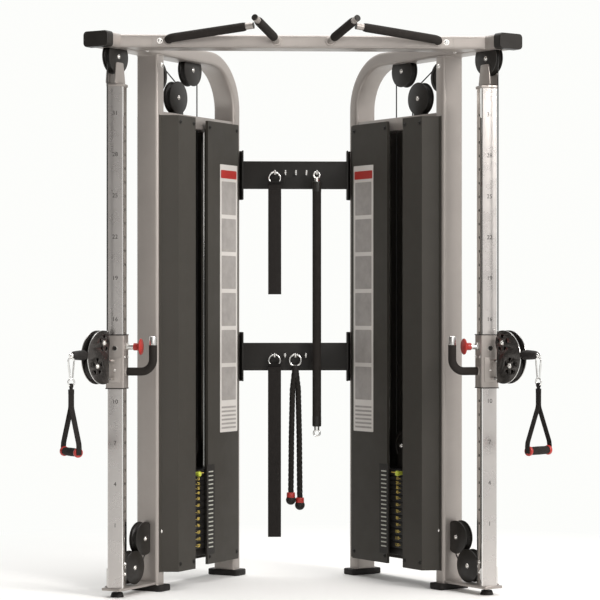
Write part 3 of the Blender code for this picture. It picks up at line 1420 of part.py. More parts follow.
build_tower(1, "left_", LEFT_GRIP_YAW)
build_tower(-1, "right_", RIGHT_GRIP_YAW)
build_beam()
RACK_SEAT_X, RACK_SEAT_Y = world_plan(HALF_WIDTH, REAR_S + HALF_DEPTH + SEAT_GAP + RACK_FLANGE_WALL / 2, -1)
RACK_HALF_LENGTH = RACK_SEAT_X - RACK_INSET
RACK_Y = RACK_SEAT_Y - RACK_STEP
RACK_FRONT = RACK_Y - RACK_DEPTH / 2
build_rack("upper_rack", UPPER_RACK_Z, UPPER_PEG_REACH)
build_rack("lower_rack", LOWER_RACK_Z, LOWER_PEG_REACH)
build_band("short_strap", -2 * PEG_PITCH, RACK_FRONT - UPPER_PEG_REACH * 0.5, UPPER_RACK_Z, SHORT_BAND_LENGTH)
build_band("long_strap", -2 * PEG_PITCH, RACK_FRONT - LOWER_PEG_REACH * 0.5, LOWER_RACK_Z, LONG_BAND_LENGTH)
build_straight_bar(2 * PEG_PITCH, RACK_FRONT - UPPER_PEG_REACH * 0.8, UPPER_RACK_Z)
build_rope(0.0, RACK_FRONT - LOWER_PEG_REACH * 0.5, LOWER_RACK_Z)

for made in PARTS.objects:
    if made.type == "MESH":
        made.data.shade_smooth()
        made.data.set_sharp_from_angle(angle=math.radians(35))
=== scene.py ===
"""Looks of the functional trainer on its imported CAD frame.

Metres, +Z up. Each tower is modelled in its own axes: n points to the user's space, s runs from the
front cap to the rear upright, z points up. Its Side sets it in place, and the right tower is the mirror
image of the left one.
"""

import json
import logging
import math
from dataclasses import dataclass
from enum import Enum
from typing import Any, Callable, Iterable, Sequence

import bmesh
import bpy
import numpy as np
from mathutils import Matrix, Vector

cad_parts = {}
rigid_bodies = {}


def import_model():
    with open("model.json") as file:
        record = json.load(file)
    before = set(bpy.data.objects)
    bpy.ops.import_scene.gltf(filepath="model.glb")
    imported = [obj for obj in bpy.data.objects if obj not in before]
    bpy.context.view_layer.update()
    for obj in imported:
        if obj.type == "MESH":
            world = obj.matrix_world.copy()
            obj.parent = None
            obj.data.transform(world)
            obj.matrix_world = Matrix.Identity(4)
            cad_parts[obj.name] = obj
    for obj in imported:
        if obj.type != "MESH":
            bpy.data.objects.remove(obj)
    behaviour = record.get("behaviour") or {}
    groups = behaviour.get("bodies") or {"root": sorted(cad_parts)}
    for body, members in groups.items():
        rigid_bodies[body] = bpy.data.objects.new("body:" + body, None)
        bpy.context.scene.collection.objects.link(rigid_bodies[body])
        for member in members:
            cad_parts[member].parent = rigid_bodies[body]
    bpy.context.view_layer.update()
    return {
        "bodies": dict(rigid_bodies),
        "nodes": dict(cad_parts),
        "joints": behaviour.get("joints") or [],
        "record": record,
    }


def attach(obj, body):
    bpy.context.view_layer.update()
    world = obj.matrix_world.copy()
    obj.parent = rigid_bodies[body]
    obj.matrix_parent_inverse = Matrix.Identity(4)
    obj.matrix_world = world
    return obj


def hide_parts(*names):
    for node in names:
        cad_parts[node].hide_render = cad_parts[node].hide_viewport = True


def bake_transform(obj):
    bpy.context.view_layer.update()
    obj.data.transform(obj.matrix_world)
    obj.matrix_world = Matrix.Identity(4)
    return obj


LOG = logging.getLogger("functional_trainer")
Colour = tuple[float, float, float]
Plan = tuple[float, float]
Point = Sequence[float]


class Sock:
    """A shader output that takes part in sums."""

    def __init__(self, graph: "Graph", socket: bpy.types.NodeSocket | None) -> None:
        """Wraps one output."""
        self.graph = graph
        self.socket = socket

    def other(self, name: str) -> "Sock":
        """Another output of the same node."""
        return Sock(self.graph, self.socket.node.outputs[name])

    def math(self, operation: str, first: Any, second: Any = 0.0) -> "Sock":
        """A Math node of two values."""
        return self.graph.make("ShaderNodeMath", {"operation": operation}, {0: first, 1: second})

    def __add__(self, value: Any) -> "Sock":
        """Sum with a value or socket on the right."""
        return self.math("ADD", self, value)

    def __radd__(self, value: Any) -> "Sock":
        """Sum with a value on the left."""
        return self.math("ADD", value, self)

    def __sub__(self, value: Any) -> "Sock":
        """Difference with a value or socket on the right."""
        return self.math("SUBTRACT", self, value)

    def __rsub__(self, value: Any) -> "Sock":
        """Difference with a value on the left."""
        return self.math("SUBTRACT", value, self)

    def __mul__(self, value: Any) -> "Sock":
        """Product with a value or socket on the right."""
        return self.math("MULTIPLY", self, value)

    def __rmul__(self, value: Any) -> "Sock":
        """Product with a value on the left."""
        return self.math("MULTIPLY", value, self)

    def __pow__(self, value: Any) -> "Sock":
        """Power of the socket."""
        return self.math("POWER", self, value)

    def sine(self) -> "Sock":
        """Sine of the socket, in radians."""
        return self.math("SINE", self)

    def absolute(self) -> "Sock":
        """The socket without its sign."""
        return self.math("ABSOLUTE", self)

    def ramp(self, low: float, high: float, start: float, end: float) -> "Sock":
        """The socket mapped from one range to another and clamped."""
        inputs = {"Value": self, "From Min": low, "From Max": high, "To Min": start, "To Max": end}
        return self.graph.make("ShaderNodeMapRange", {"clamp": True}, inputs)


class Graph:
    """A node tree and the one method that adds any node to it."""

    def __init__(self, tree: bpy.types.NodeTree) -> None:
        """Takes an empty or fresh tree."""
        self.tree = tree

    def make(
        self,
        kind: str,
        settings: dict[str, Any] | None = None,
        inputs: dict[Any, Any] | None = None,
        output: Any = 0,
    ) -> Sock:
        """Adds one node.

        Args:
            kind: the node's type name.
            settings: properties to set on it.
            inputs: values or sockets for its inputs, by name or index.
            output: the output to return, by name or index.

        Returns:
            That output.
        """
        node = self.tree.nodes.new(kind)
        for name, value in (settings or {}).items():
            setattr(node, name, value)
        for key, value in (inputs or {}).items():
            self.feed(node.inputs[key], value)
        return Sock(self, None if output is None else node.outputs[output])

    def feed(self, target: bpy.types.NodeSocket, value: Any) -> None:
        """Links a socket to an input, or sets a constant on it.

        Args:
            target: the input.
            value: a Sock or a constant.
        """
        if isinstance(value, Sock):
            self.tree.links.new(value.socket, target)
        else:
            target.default_value = value

    def mix(self, factor: Any, first: Any, second: Any) -> Sock:
        """A colour mix."""
        return self.make("ShaderNodeMix", {"data_type": "RGBA"}, {0: factor, 6: first, 7: second}, 2)

    def stretched(self, place: Sock, scale: Point) -> Sock:
        """A place vector scaled by its axes."""
        return self.make("ShaderNodeVectorMath", {"operation": "MULTIPLY"}, {0: place, 1: tuple(scale)})

    def noise(self, place: Sock, scale: float, detail: float = 2.0, rough: float = 0.5) -> Sock:
        """A noise value from 0 to 1."""
        inputs = {"Vector": place, "Scale": scale, "Detail": detail, "Roughness": rough}
        return self.make("ShaderNodeTexNoise", None, inputs)


def rgba(colour: Colour) -> tuple[float, float, float, float]:
    """A linear colour with full alpha."""
    return (*colour, 1.0)


@dataclass(frozen=True)
class Finish:
    """A plain surface: a colour that drifts a little, a roughness with smudges and a fine grain."""

    name: str
    colour: Colour
    roughness: float
    metallic: float = 0.0
    coat: float = 0.0
    drift: float = 0.08
    patch: float = 7.0
    smudge: float = 0.06
    grain: float = 700.0
    relief: float = 0.00002
    specular: float = 0.5

    def height(self, graph: Graph, place: Sock) -> Sock:
        """The grain's height from 0 to 1."""
        return graph.noise(place, self.grain, 3.0, 0.6)

    def tint(self, graph: Graph, place: Sock) -> Sock:
        """The base colour over the surface.

        Args:
            graph: the material's graph.
            place: object coordinates.

        Returns:
            The colour.
        """
        dark = tuple(channel * (1.0 - self.drift) for channel in self.colour)
        light = tuple(min(channel * (1.0 + self.drift), 1.0) for channel in self.colour)
        share = graph.noise(place, self.patch, 4.0, 0.62).ramp(0.3, 0.7, 0.0, 1.0)
        return graph.mix(share, rgba(dark), rgba(light))

    def sheen(self, graph: Graph, place: Sock) -> Sock:
        """The roughness over the surface.

        Args:
            graph: the material's graph.
            place: object coordinates.

        Returns:
            The roughness.
        """
        spots = graph.noise(place, self.patch * 3.1, 3.0, 0.6)
        low = max(self.roughness - self.smudge, 0.02)
        return spots.ramp(0.3, 0.7, low, min(self.roughness + self.smudge, 1.0))

    def material(self) -> bpy.types.Material:
        """The Blender material, made at its first use.

        Returns:
            The material.
        """
        made = bpy.data.materials.get(self.name)
        if made is not None:
            return made
        made = bpy.data.materials.new(self.name)
        made.use_nodes = True
        graph = Graph(made.node_tree)
        shader = made.node_tree.nodes["Principled BSDF"]
        place = graph.make("ShaderNodeTexCoord", output="Object")
        graph.feed(shader.inputs["Base Color"], self.tint(graph, place))
        graph.feed(shader.inputs["Roughness"], self.sheen(graph, place))
        shader.inputs["Metallic"].default_value = self.metallic
        shader.inputs["Coat Weight"].default_value = self.coat
        shader.inputs["Coat Roughness"].default_value = 0.12
        shader.inputs["Specular IOR Level"].default_value = self.specular
        inputs = {"Height": self.height(graph, place), "Distance": self.relief, "Strength": 1.0}
        graph.feed(shader.inputs["Normal"], graph.make("ShaderNodeBump", None, inputs))
        return made


@dataclass(frozen=True)
class Brushed(Finish):
    """Metal with a grain drawn out along the vertical."""

    draw: float = 0.02

    def height(self, graph: Graph, place: Sock) -> Sock:
        """See Finish.height; the noise is stretched along Z."""
        return graph.noise(graph.stretched(place, (1.0, 1.0, self.draw)), self.grain, 4.0, 0.7)


@dataclass(frozen=True)
class Cellular(Finish):
    """Foam with a skin of small cells."""

    def height(self, graph: Graph, place: Sock) -> Sock:
        """See Finish.height; cells instead of noise."""
        cells = graph.make("ShaderNodeTexVoronoi", None, {"Vector": place, "Scale": self.grain})
        return cells + graph.noise(place, self.grain * 2.3, 2.0) * 0.4


@dataclass(frozen=True)
class Woven(Finish):
    """Webbing: ribs along the band crossed by a twill, read from the band's own run."""

    rib: float = 0.0022
    pick: float = 0.0030

    def weave(self, graph: Graph) -> Sock:
        """The weave's height from 0 to 1.

        Args:
            graph: the material's graph.

        Returns:
            The height.
        """
        run = graph.make("ShaderNodeAttribute", {"attribute_name": "run"}, None, "Vector")
        parts = graph.make("ShaderNodeSeparateXYZ", None, {0: run})
        across = parts * (math.pi / self.rib)
        along = parts.other("Y") * (math.pi / self.pick)
        ribs = across.sine().absolute()
        twill = (across + along).sine().absolute()
        return ribs * 0.45 + twill * 0.55

    def height(self, graph: Graph, place: Sock) -> Sock:
        """See Finish.height; the weave with a little fuzz."""
        return self.weave(graph) + graph.noise(place, 2400.0, 2.0) * 0.25

    def tint(self, graph: Graph, place: Sock) -> Sock:
        """See Finish.tint; threads catch light on their crowns."""
        low = tuple(channel * 0.55 for channel in self.colour)
        high = tuple(channel * 1.45 for channel in self.colour)
        return graph.mix(self.weave(graph), rgba(low), rgba(high))


class Paint(Enum):
    """Every finish on the trainer."""

    SILVER = Finish(
        "silver_coat", (0.345, 0.313, 0.290), 0.38, 0.50, 0.05, 0.05, 5.0, 0.05, 1500.0, 0.000012,
    )
    CHROME = Finish("chrome_plate", (0.80, 0.79, 0.77), 0.09, 1.0, 0.0, 0.02, 9.0, 0.03, 300.0, 0.000001)
    POST_SIDE = Finish(
        "post_chrome", (0.78, 0.77, 0.75), 0.06, 1.0, 0.0, 0.02, 5.0, 0.02, 300.0, 0.000001,
    )
    POST_FRONT = Brushed(
        "post_satin", (0.53, 0.50, 0.48), 0.28, 0.90, 0.0, 0.03, 4.0, 0.04, 1800.0, 0.000006,
    )
    ZINC = Finish("zinc_bolt", (0.74, 0.72, 0.69), 0.22, 1.0, 0.0, 0.05, 40.0, 0.06, 900.0, 0.000004)
    STEEL = Brushed(
        "bright_steel", (0.66, 0.65, 0.63), 0.20, 1.0, 0.0, 0.04, 12.0, 0.05, 1500.0, 0.000004,
    )
    BLACK = Finish(
        "black_moulding", (0.016, 0.014, 0.012), 0.42, 0.0, 0.0, 0.10, 9.0, 0.06, 1100.0, 0.00002, 0.28,
    )
    GUARD = Finish(
        "guard_black", (0.017, 0.015, 0.013), 0.34, 0.0, 0.0, 0.08, 11.0, 0.06, 1300.0, 0.000014, 0.32,
    )
    GLOSS = Finish(
        "gloss_black_steel", (0.085, 0.078, 0.073), 0.24, 0.75, 0.1, 0.08, 9.0, 0.04, 900.0, 0.000006, 0.4,
    )
    STEELBLACK = Finish(
        "black_coat", (0.013, 0.0115, 0.010), 0.44, 0.0, 0.0, 0.10, 8.0, 0.06, 1400.0, 0.00002, 0.25,
    )
    RUBBER = Finish(
        "black_rubber", (0.014, 0.012, 0.011), 0.62, 0.0, 0.0, 0.12, 14.0, 0.08, 1600.0, 0.00003, 0.25,
    )
    FOAM = Cellular(
        "black_foam", (0.018, 0.015, 0.013), 0.85, 0.0, 0.0, 0.14, 30.0, 0.06, 900.0, 0.00016, 0.2,
    )
    CHARCOAL = Finish(
        "charcoal_sheet_coat", (0.044, 0.040, 0.034), 0.58, 0.0, 0.0, 0.05, 4.0, 0.06, 1300.0, 0.00003, 0.25,
    )
    IRON = Finish(
        "stack_enamel", (0.012, 0.011, 0.010), 0.46, 0.0, 0.0, 0.12, 16.0, 0.08, 420.0, 0.0001, 0.3,
    )
    RED = Finish(
        "red_moulding", (0.360, 0.030, 0.024), 0.36, 0.0, 0.0, 0.06, 20.0, 0.05, 900.0, 0.00001, 0.4,
    )
    LIME = Finish("lime_moulding", (0.50, 0.56, 0.06), 0.38, 0.0, 0.0, 0.06, 20.0, 0.05, 900.0, 0.00001)
    WEBBING = Woven(
        "black_webbing", (0.014, 0.012, 0.011), 0.86, 0.0, 0.0, 0.10, 20.0, 0.05, 900.0, 0.00035, 0.2,
    )
    THREAD = Finish(
        "black_thread", (0.030, 0.027, 0.025), 0.75, 0.0, 0.0, 0.10, 60.0, 0.05, 4000.0, 0.0001, 0.2,
    )
    CABLE = Finish(
        "cable_jacket", (0.010, 0.009, 0.008), 0.34, 0.0, 0.0, 0.08, 12.0, 0.06, 1800.0, 0.00001, 0.4,
    )
    ROPE = Finish(
        "black_rope", (0.016, 0.014, 0.012), 0.85, 0.0, 0.0, 0.14, 50.0, 0.06, 2600.0, 0.00022, 0.2,
    )
    INK = Finish(
        "dark_print", (0.022, 0.020, 0.018), 0.55, 0.0, 0.0, 0.05, 30.0, 0.05, 900.0, 0.000004, 0.25,
    )
    YELLOW = Finish("yellow_print", (0.78, 0.58, 0.12), 0.55, 0.0, 0.0, 0.05, 30.0, 0.05, 900.0, 0.000004)
    PALE = Finish("pale_print", (0.42, 0.42, 0.37), 0.55, 0.0, 0.0, 0.05, 30.0, 0.05, 900.0, 0.000004)
    PLACARD = Brushed(
        "placard_silver", (0.60, 0.57, 0.54), 0.42, 0.1, 0.0, 0.04, 6.0, 0.05, 900.0, 0.000004,
    )
    PLACARD_BOX = Finish(
        "placard_grey", (0.30, 0.28, 0.265), 0.50, 0.0, 0.0, 0.12, 22.0, 0.05, 900.0, 0.000004,
    )


@dataclass
class Form:
    """Points and faces of one shape, with the place along its own run where it has one."""

    points: np.ndarray
    faces: list[tuple[int, ...]]
    run: np.ndarray | None = None

    def outward(self) -> "Form":
        """The same closed shape with its faces turned out.

        Returns:
            This form.
        """
        volume = 0.0
        for face in self.faces:
            corner = self.points[list(face)]
            for second, third in zip(corner[1:-1], corner[2:]):
                volume += float(np.dot(corner[0], np.cross(second, third)))
        if volume < 0:
            self.faces = [tuple(reversed(face)) for face in self.faces]
        return self

    def moved(self, frame: Matrix) -> "Form":
        """A copy set in another frame.

        Args:
            frame: the frame's matrix; a mirroring one keeps the faces turned out.

        Returns:
            The copy.
        """
        turn = np.array(frame.to_3x3())
        points = self.points @ turn.T + np.array(frame.translation)
        faces = self.faces
        if np.linalg.det(turn) < 0:
            faces = [tuple(reversed(face)) for face in faces]
        return Form(points, faces, self.run)

    def at(self, x: float, y: float, z: float) -> "Form":
        """A copy moved along the axes."""
        return self.moved(Matrix.Translation((x, y, z)))

    def split(self, test: Callable[[np.ndarray, np.ndarray], bool]) -> tuple["Form", "Form"]:
        """Parts the faces in two.

        Args:
            test: takes a face's normal and centre and says whether it goes to the first form.

        Returns:
            The faces that pass, then the others.
        """
        kept: tuple[list[tuple[int, ...]], list[tuple[int, ...]]] = ([], [])
        for face in self.faces:
            corner = self.points[list(face)]
            normal = np.zeros(3)
            for second, third in zip(corner[1:-1], corner[2:]):
                normal += np.cross(second - corner[0], third - corner[0])
            normal /= max(np.linalg.norm(normal), 1e-12)
            kept[0 if test(normal, corner.mean(0)) else 1].append(face)
        return Form(self.points, kept[0], self.run), Form(self.points, kept[1], self.run)

    def mesh(self, name: str) -> bpy.types.Mesh:
        """A Blender mesh of the form.

        Args:
            name: the mesh's name.

        Returns:
            The mesh.
        """
        made = bpy.data.meshes.new(name)
        made.from_pydata(self.points.tolist(), [], self.faces)
        return made

    @staticmethod
    def read(mesh: bpy.types.Mesh, weld: float = 1e-6) -> "Form":
        """The form of a Blender mesh, which is removed.

        Args:
            mesh: the mesh.
            weld: points nearer than this are joined.

        Returns:
            The form.
        """
        bm = bmesh.new()
        bm.from_mesh(mesh)
        bpy.data.meshes.remove(mesh)
        bmesh.ops.remove_doubles(bm, verts=bm.verts[:], dist=weld)
        bm.verts.index_update()
        points = np.array([vert.co for vert in bm.verts], float).reshape(-1, 3)
        faces = [tuple(vert.index for vert in face.verts) for face in bm.faces]
        bm.free()
        return Form(points, faces)

    @staticmethod
    def joined(forms: Iterable["Form"]) -> "Form":
        """One form of several.

        Args:
            forms: the forms.

        Returns:
            All of them as one.
        """
        points, faces, runs, start = [], [], [], 0
        for form in forms:
            points.append(form.points)
            faces += [tuple(index + start for index in face) for face in form.faces]
            runs.append(np.zeros((len(form.points), 2)) if form.run is None else form.run)
            start += len(form.points)
        return Form(np.concatenate(points), faces, np.concatenate(runs))


# Frames that set a flat outline upright: its first axis and its second one, then the way it is pulled
ALONG = Matrix(((0, 0, 1, 0), (1, 0, 0, 0), (0, 1, 0, 0), (0, 0, 0, 1)))


def axis_frame(origin: Point, direction: Point) -> Matrix:
    """A frame whose Z axis points along a direction."""
    turn = Vector((0, 0, 1)).rotation_difference(Vector(direction).normalized())
    return Matrix.Translation(origin) @ turn.to_matrix().to_4x4()


def arc(centre: Plan, radius: float, start: float, end: float, steps: int) -> list[Plan]:
    """Points of an arc, both ends included."""
    angles = np.radians(np.linspace(start, end, steps + 1))
    return [(centre[0] + radius * math.cos(a), centre[1] + radius * math.sin(a)) for a in angles]


def circle(centre: Plan, radius: float, steps: int = 32) -> list[Plan]:
    """A closed ring of points."""
    return arc(centre, radius, 0, 360, steps)[:-1]


def rounded(width: float, height: float, corner: float, steps: int = 5) -> list[Plan]:
    """A rectangle with round corners about the origin.

    Args:
        width: size along the first axis.
        height: size along the second axis.
        corner: corner radius.
        steps: chords in a corner.

    Returns:
        The outline.
    """
    x, y = width / 2 - corner, height / 2 - corner
    outline = arc((x, y), corner, 0, 90, steps)
    outline += arc((-x, y), corner, 90, 180, steps)
    outline += arc((-x, -y), corner, 180, 270, steps)
    return outline + arc((x, -y), corner, 270, 360, steps)


def softened(outline: Sequence[Plan], radius: float, steps: int = 4) -> list[Plan]:
    """A closed outline with its corners rounded.

    Args:
        outline: its corners.
        radius: the rounding, kept below half of the shorter side at each corner.
        steps: chords in a corner.

    Returns:
        The rounded outline.
    """
    corners = [Vector((*point, 0.0)) for point in outline]
    made: list[Plan] = []
    for index, here in enumerate(corners):
        back = corners[index - 1] - here
        ahead = corners[(index + 1) % len(corners)] - here
        half = back.angle(ahead) / 2
        cut = min(radius / math.tan(half), back.length * 0.48, ahead.length * 0.48)
        start = here + back.normalized() * cut
        end = here + ahead.normalized() * cut
        for step in range(steps + 1):
            t = step / steps
            spot = start * (1 - t) ** 2 + here * 2 * t * (1 - t) + end * t * t
            made.append((spot.x, spot.y))
    return made


def bend(points: Sequence[Point], radius: float, steps: int) -> list[Vector]:
    """A run of points with its inner corners rounded.

    Args:
        points: the corners.
        radius: the bend radius.
        steps: chords in a bend.

    Returns:
        The run.
    """
    corners = [Vector(point) for point in points]
    run = [corners[0]]
    for before, here, after in zip(corners, corners[1:], corners[2:]):
        first = (before - here).normalized()
        second = (after - here).normalized()
        half = first.angle(second) / 2
        middle = here + (first + second).normalized() * radius / math.sin(half)
        start = here + first * radius / math.tan(half) - middle
        turn = start.rotation_difference(here + second * radius / math.tan(half) - middle)
        for step in range(steps + 1):
            part = turn.copy()
            part.angle = turn.angle * step / steps
            run.append(middle + part @ start)
    return run + [corners[-1]]


def spaced(points: Sequence[Point], step: float) -> list[Vector]:
    """A run of points with long stretches divided.

    Args:
        points: the run.
        step: the longest stretch that stays whole.

    Returns:
        The divided run.
    """
    run = [Vector(points[0])]
    for before, after in zip(points, points[1:]):
        first, second = Vector(before), Vector(after)
        count = max(1, math.ceil((second - first).length / step))
        run += [first.lerp(second, (index + 1) / count) for index in range(count)]
    return run


def between(run: Sequence[Vector], start: float, end: float) -> list[Vector]:
    """The stretch of a run that lies `start` from its first point and `end` from its last.

    Args:
        run: the points.
        start: length left out at the beginning.
        end: length left out at the end.

    Returns:
        The stretch.
    """
    total = sum((b - a).length for a, b in zip(run, run[1:]))
    kept, passed = [], 0.0
    for a, b in zip(run, run[1:]):
        length = (b - a).length
        for mark in (start, total - end):
            if passed <= mark < passed + length:
                kept.append(a.lerp(b, (mark - passed) / length))
        passed += length
        if start < passed < total - end:
            kept.append(b)
    return kept


class Forge:
    """Makes forms: blocks, plates, turned shapes and swept runs."""

    @staticmethod
    def evaluated(obj: bpy.types.Object) -> Form:
        """The form of an object with its modifiers, which is removed.

        Args:
            obj: a linked object.

        Returns:
            The form.
        """
        bpy.context.view_layer.update()
        graph = bpy.context.evaluated_depsgraph_get()
        mesh = bpy.data.meshes.new_from_object(obj.evaluated_get(graph))
        bpy.data.objects.remove(obj, do_unlink=True)
        return Form.read(mesh)

    @staticmethod
    def linked(data: bpy.types.ID, name: str) -> bpy.types.Object:
        """A new object in the scene.

        Args:
            data: its mesh or curve.
            name: its name.

        Returns:
            The object.
        """
        obj = bpy.data.objects.new(name, data)
        bpy.context.scene.collection.objects.link(obj)
        return obj

    @staticmethod
    def block(low: Point, high: Point, edge: float = 0.002, steps: int = 2) -> Form:
        """A block with rounded edges.

        Args:
            low: its lowest corner.
            high: its highest corner.
            edge: the rounding.
            steps: chords in an edge.

        Returns:
            The form.
        """
        bm = bmesh.new()
        bmesh.ops.create_cube(bm, size=1.0)
        size = [abs(b - a) for a, b in zip(low, high)]
        middle = [(a + b) / 2 for a, b in zip(low, high)]
        bm.transform(Matrix.Translation(middle) @ Matrix.Diagonal((*size, 1.0)))
        if edge > 0:
            bmesh.ops.bevel(
                bm, geom=bm.edges[:], offset=edge, segments=steps, profile=0.5, affect="EDGES",
            )
        mesh = bpy.data.meshes.new("block")
        bm.to_mesh(mesh)
        bm.free()
        return Form.read(mesh).outward()

    @staticmethod
    def plate(
        outline: Sequence[Plan],
        low: float,
        high: float,
        edge: float = 0.0,
        holes: Sequence[Sequence[Plan]] = (),
    ) -> Form:
        """A flat outline pulled along Z, with rounded rims.

        Args:
            outline: its outline in X and Y.
            low: lower face.
            high: upper face.
            edge: the rims' rounding.
            holes: outlines cut out of it.

        Returns:
            The form.
        """
        curve = bpy.data.curves.new("plate", "CURVE")
        curve.dimensions = "2D"
        curve.fill_mode = "BOTH"
        curve.extrude = (high - low) / 2 - edge
        curve.bevel_depth = edge
        curve.bevel_resolution = 1
        curve.offset = -edge
        for run in (outline, *holes):
            spline = curve.splines.new("POLY")
            spline.points.add(len(run) - 1)
            for point, at in zip(spline.points, run):
                point.co = (at[0], at[1], 0.0, 1.0)
            spline.use_cyclic_u = True
        form = Forge.evaluated(Forge.linked(curve, "plate"))
        return form.at(0.0, 0.0, (low + high) / 2).outward()

    @staticmethod
    def turned(profile: Sequence[Plan], sides: int = 36) -> Form:
        """A profile turned about Z.

        Args:
            profile: (radius, height) points, from the top down; a closed loop when it stays off the axis.
            sides: facets round the axis.

        Returns:
            The form.
        """
        points: list[tuple[float, float, float]] = []
        rings: list[list[int]] = []
        for radius, height in profile:
            count = sides if radius > 1e-7 else 1
            angles = 2 * math.pi * np.arange(count) / sides
            rings.append(list(range(len(points), len(points) + count)))
            points += [(radius * math.cos(a), radius * math.sin(a), height) for a in angles]
        loop = profile[0][0] > 1e-7 and profile[-1][0] > 1e-7
        faces: list[tuple[int, ...]] = []
        for first, second in zip(rings, rings[1:] + ([rings[0]] if loop else [])):
            for step in range(sides):
                after = (step + 1) % sides
                a, b = first[step % len(first)], first[after % len(first)]
                c, d = second[after % len(second)], second[step % len(second)]
                face = tuple(dict.fromkeys((a, b, c, d)))
                if len(face) > 2:
                    faces.append(face)
        return Form(np.array(points), faces).outward()

    @staticmethod
    def swept(
        path: Sequence[Point], section: Sequence[Plan], across: Point = (1, 0, 0), closed: bool = False
    ) -> Form:
        """A section carried along a path.

        Args:
            path: the centre line.
            section: its outline; the first axis follows `across`.
            across: the section's first axis at the start, made square to the path.
            closed: whether the path meets its own start.

        Returns:
            The form, with its run: the way round the section, then the way along the path.
        """
        line = np.array([tuple(point) for point in path], float)
        outline = np.array(section, float)
        count, sides = len(line), len(outline)
        ahead = np.roll(line, -1, 0) - line
        behind = line - np.roll(line, 1, 0)
        if not closed:
            ahead[-1], behind[0] = behind[-1], ahead[0]
        ahead /= np.linalg.norm(ahead, axis=1)[:, None]
        behind /= np.linalg.norm(behind, axis=1)[:, None]
        tangent = ahead + behind
        tangent /= np.linalg.norm(tangent, axis=1)[:, None]
        width = np.array(across, float)
        rings = []
        for here, direction in zip(line, tangent):
            width = width - direction * np.dot(width, direction)
            width /= np.linalg.norm(width)
            height = np.cross(direction, width)
            rings.append(here + outline[:, :1] * width + outline[:, 1:] * height)
        steps = np.linalg.norm(np.diff(line, axis=0), axis=1)
        along = np.concatenate([[0.0], np.cumsum(steps)])
        round_steps = np.linalg.norm(np.diff(outline, axis=0), axis=1)
        around = np.concatenate([[0.0], np.cumsum(round_steps)])
        run = np.stack([np.tile(around, count), np.repeat(along, sides)], 1)
        faces: list[tuple[int, ...]] = []
        for index in range(count if closed else count - 1):
            first, second = index * sides, ((index + 1) % count) * sides
            for step in range(sides):
                after = (step + 1) % sides
                faces.append((first + step, first + after, second + after, second + step))
        if not closed:
            faces.append(tuple(range(sides)))
            faces.append(tuple(range((count - 1) * sides, count * sides)))
        return Form(np.concatenate(rings), faces, run).outward()

    @staticmethod
    def rod(start: Point, end: Point, radius: float, sides: int = 24, edge: float = 0.0) -> Form:
        """A round bar between two points.

        Args:
            start: first end.
            end: last end.
            radius: its radius.
            sides: facets.
            edge: chamfer at the ends.

        Returns:
            The form.
        """
        length = (Vector(end) - Vector(start)).length
        profile = [(0.0, length), (radius - edge, length), (radius, length - edge), (radius, edge)]
        profile += [(radius - edge, 0.0), (0.0, 0.0)]
        if edge <= 0:
            profile = [(0.0, length), (radius, length), (radius, 0.0), (0.0, 0.0)]
        return Forge.turned(profile, sides).moved(axis_frame(start, Vector(end) - Vector(start)))

    @staticmethod
    def hoop(path: Sequence[Point], wire: float, across: Point, sides: int = 12) -> Form:
        """A closed loop of round wire."""
        return Forge.swept(path, circle((0, 0), wire, sides), across, True)

    @staticmethod
    def cut(target: Form, cutter: Form) -> Form:
        """Takes one closed form out of another.

        Args:
            target: what is cut.
            cutter: what is taken out.

        Returns:
            The rest.
        """
        body = Forge.linked(target.mesh("target"), "target")
        tool = Forge.linked(cutter.mesh("cutter"), "cutter")
        modifier = body.modifiers.new("Cut", "BOOLEAN")
        modifier.operation = "DIFFERENCE"
        modifier.solver = "EXACT"
        modifier.object = tool
        form = Forge.evaluated(body)
        bpy.data.objects.remove(tool, do_unlink=True)
        return form


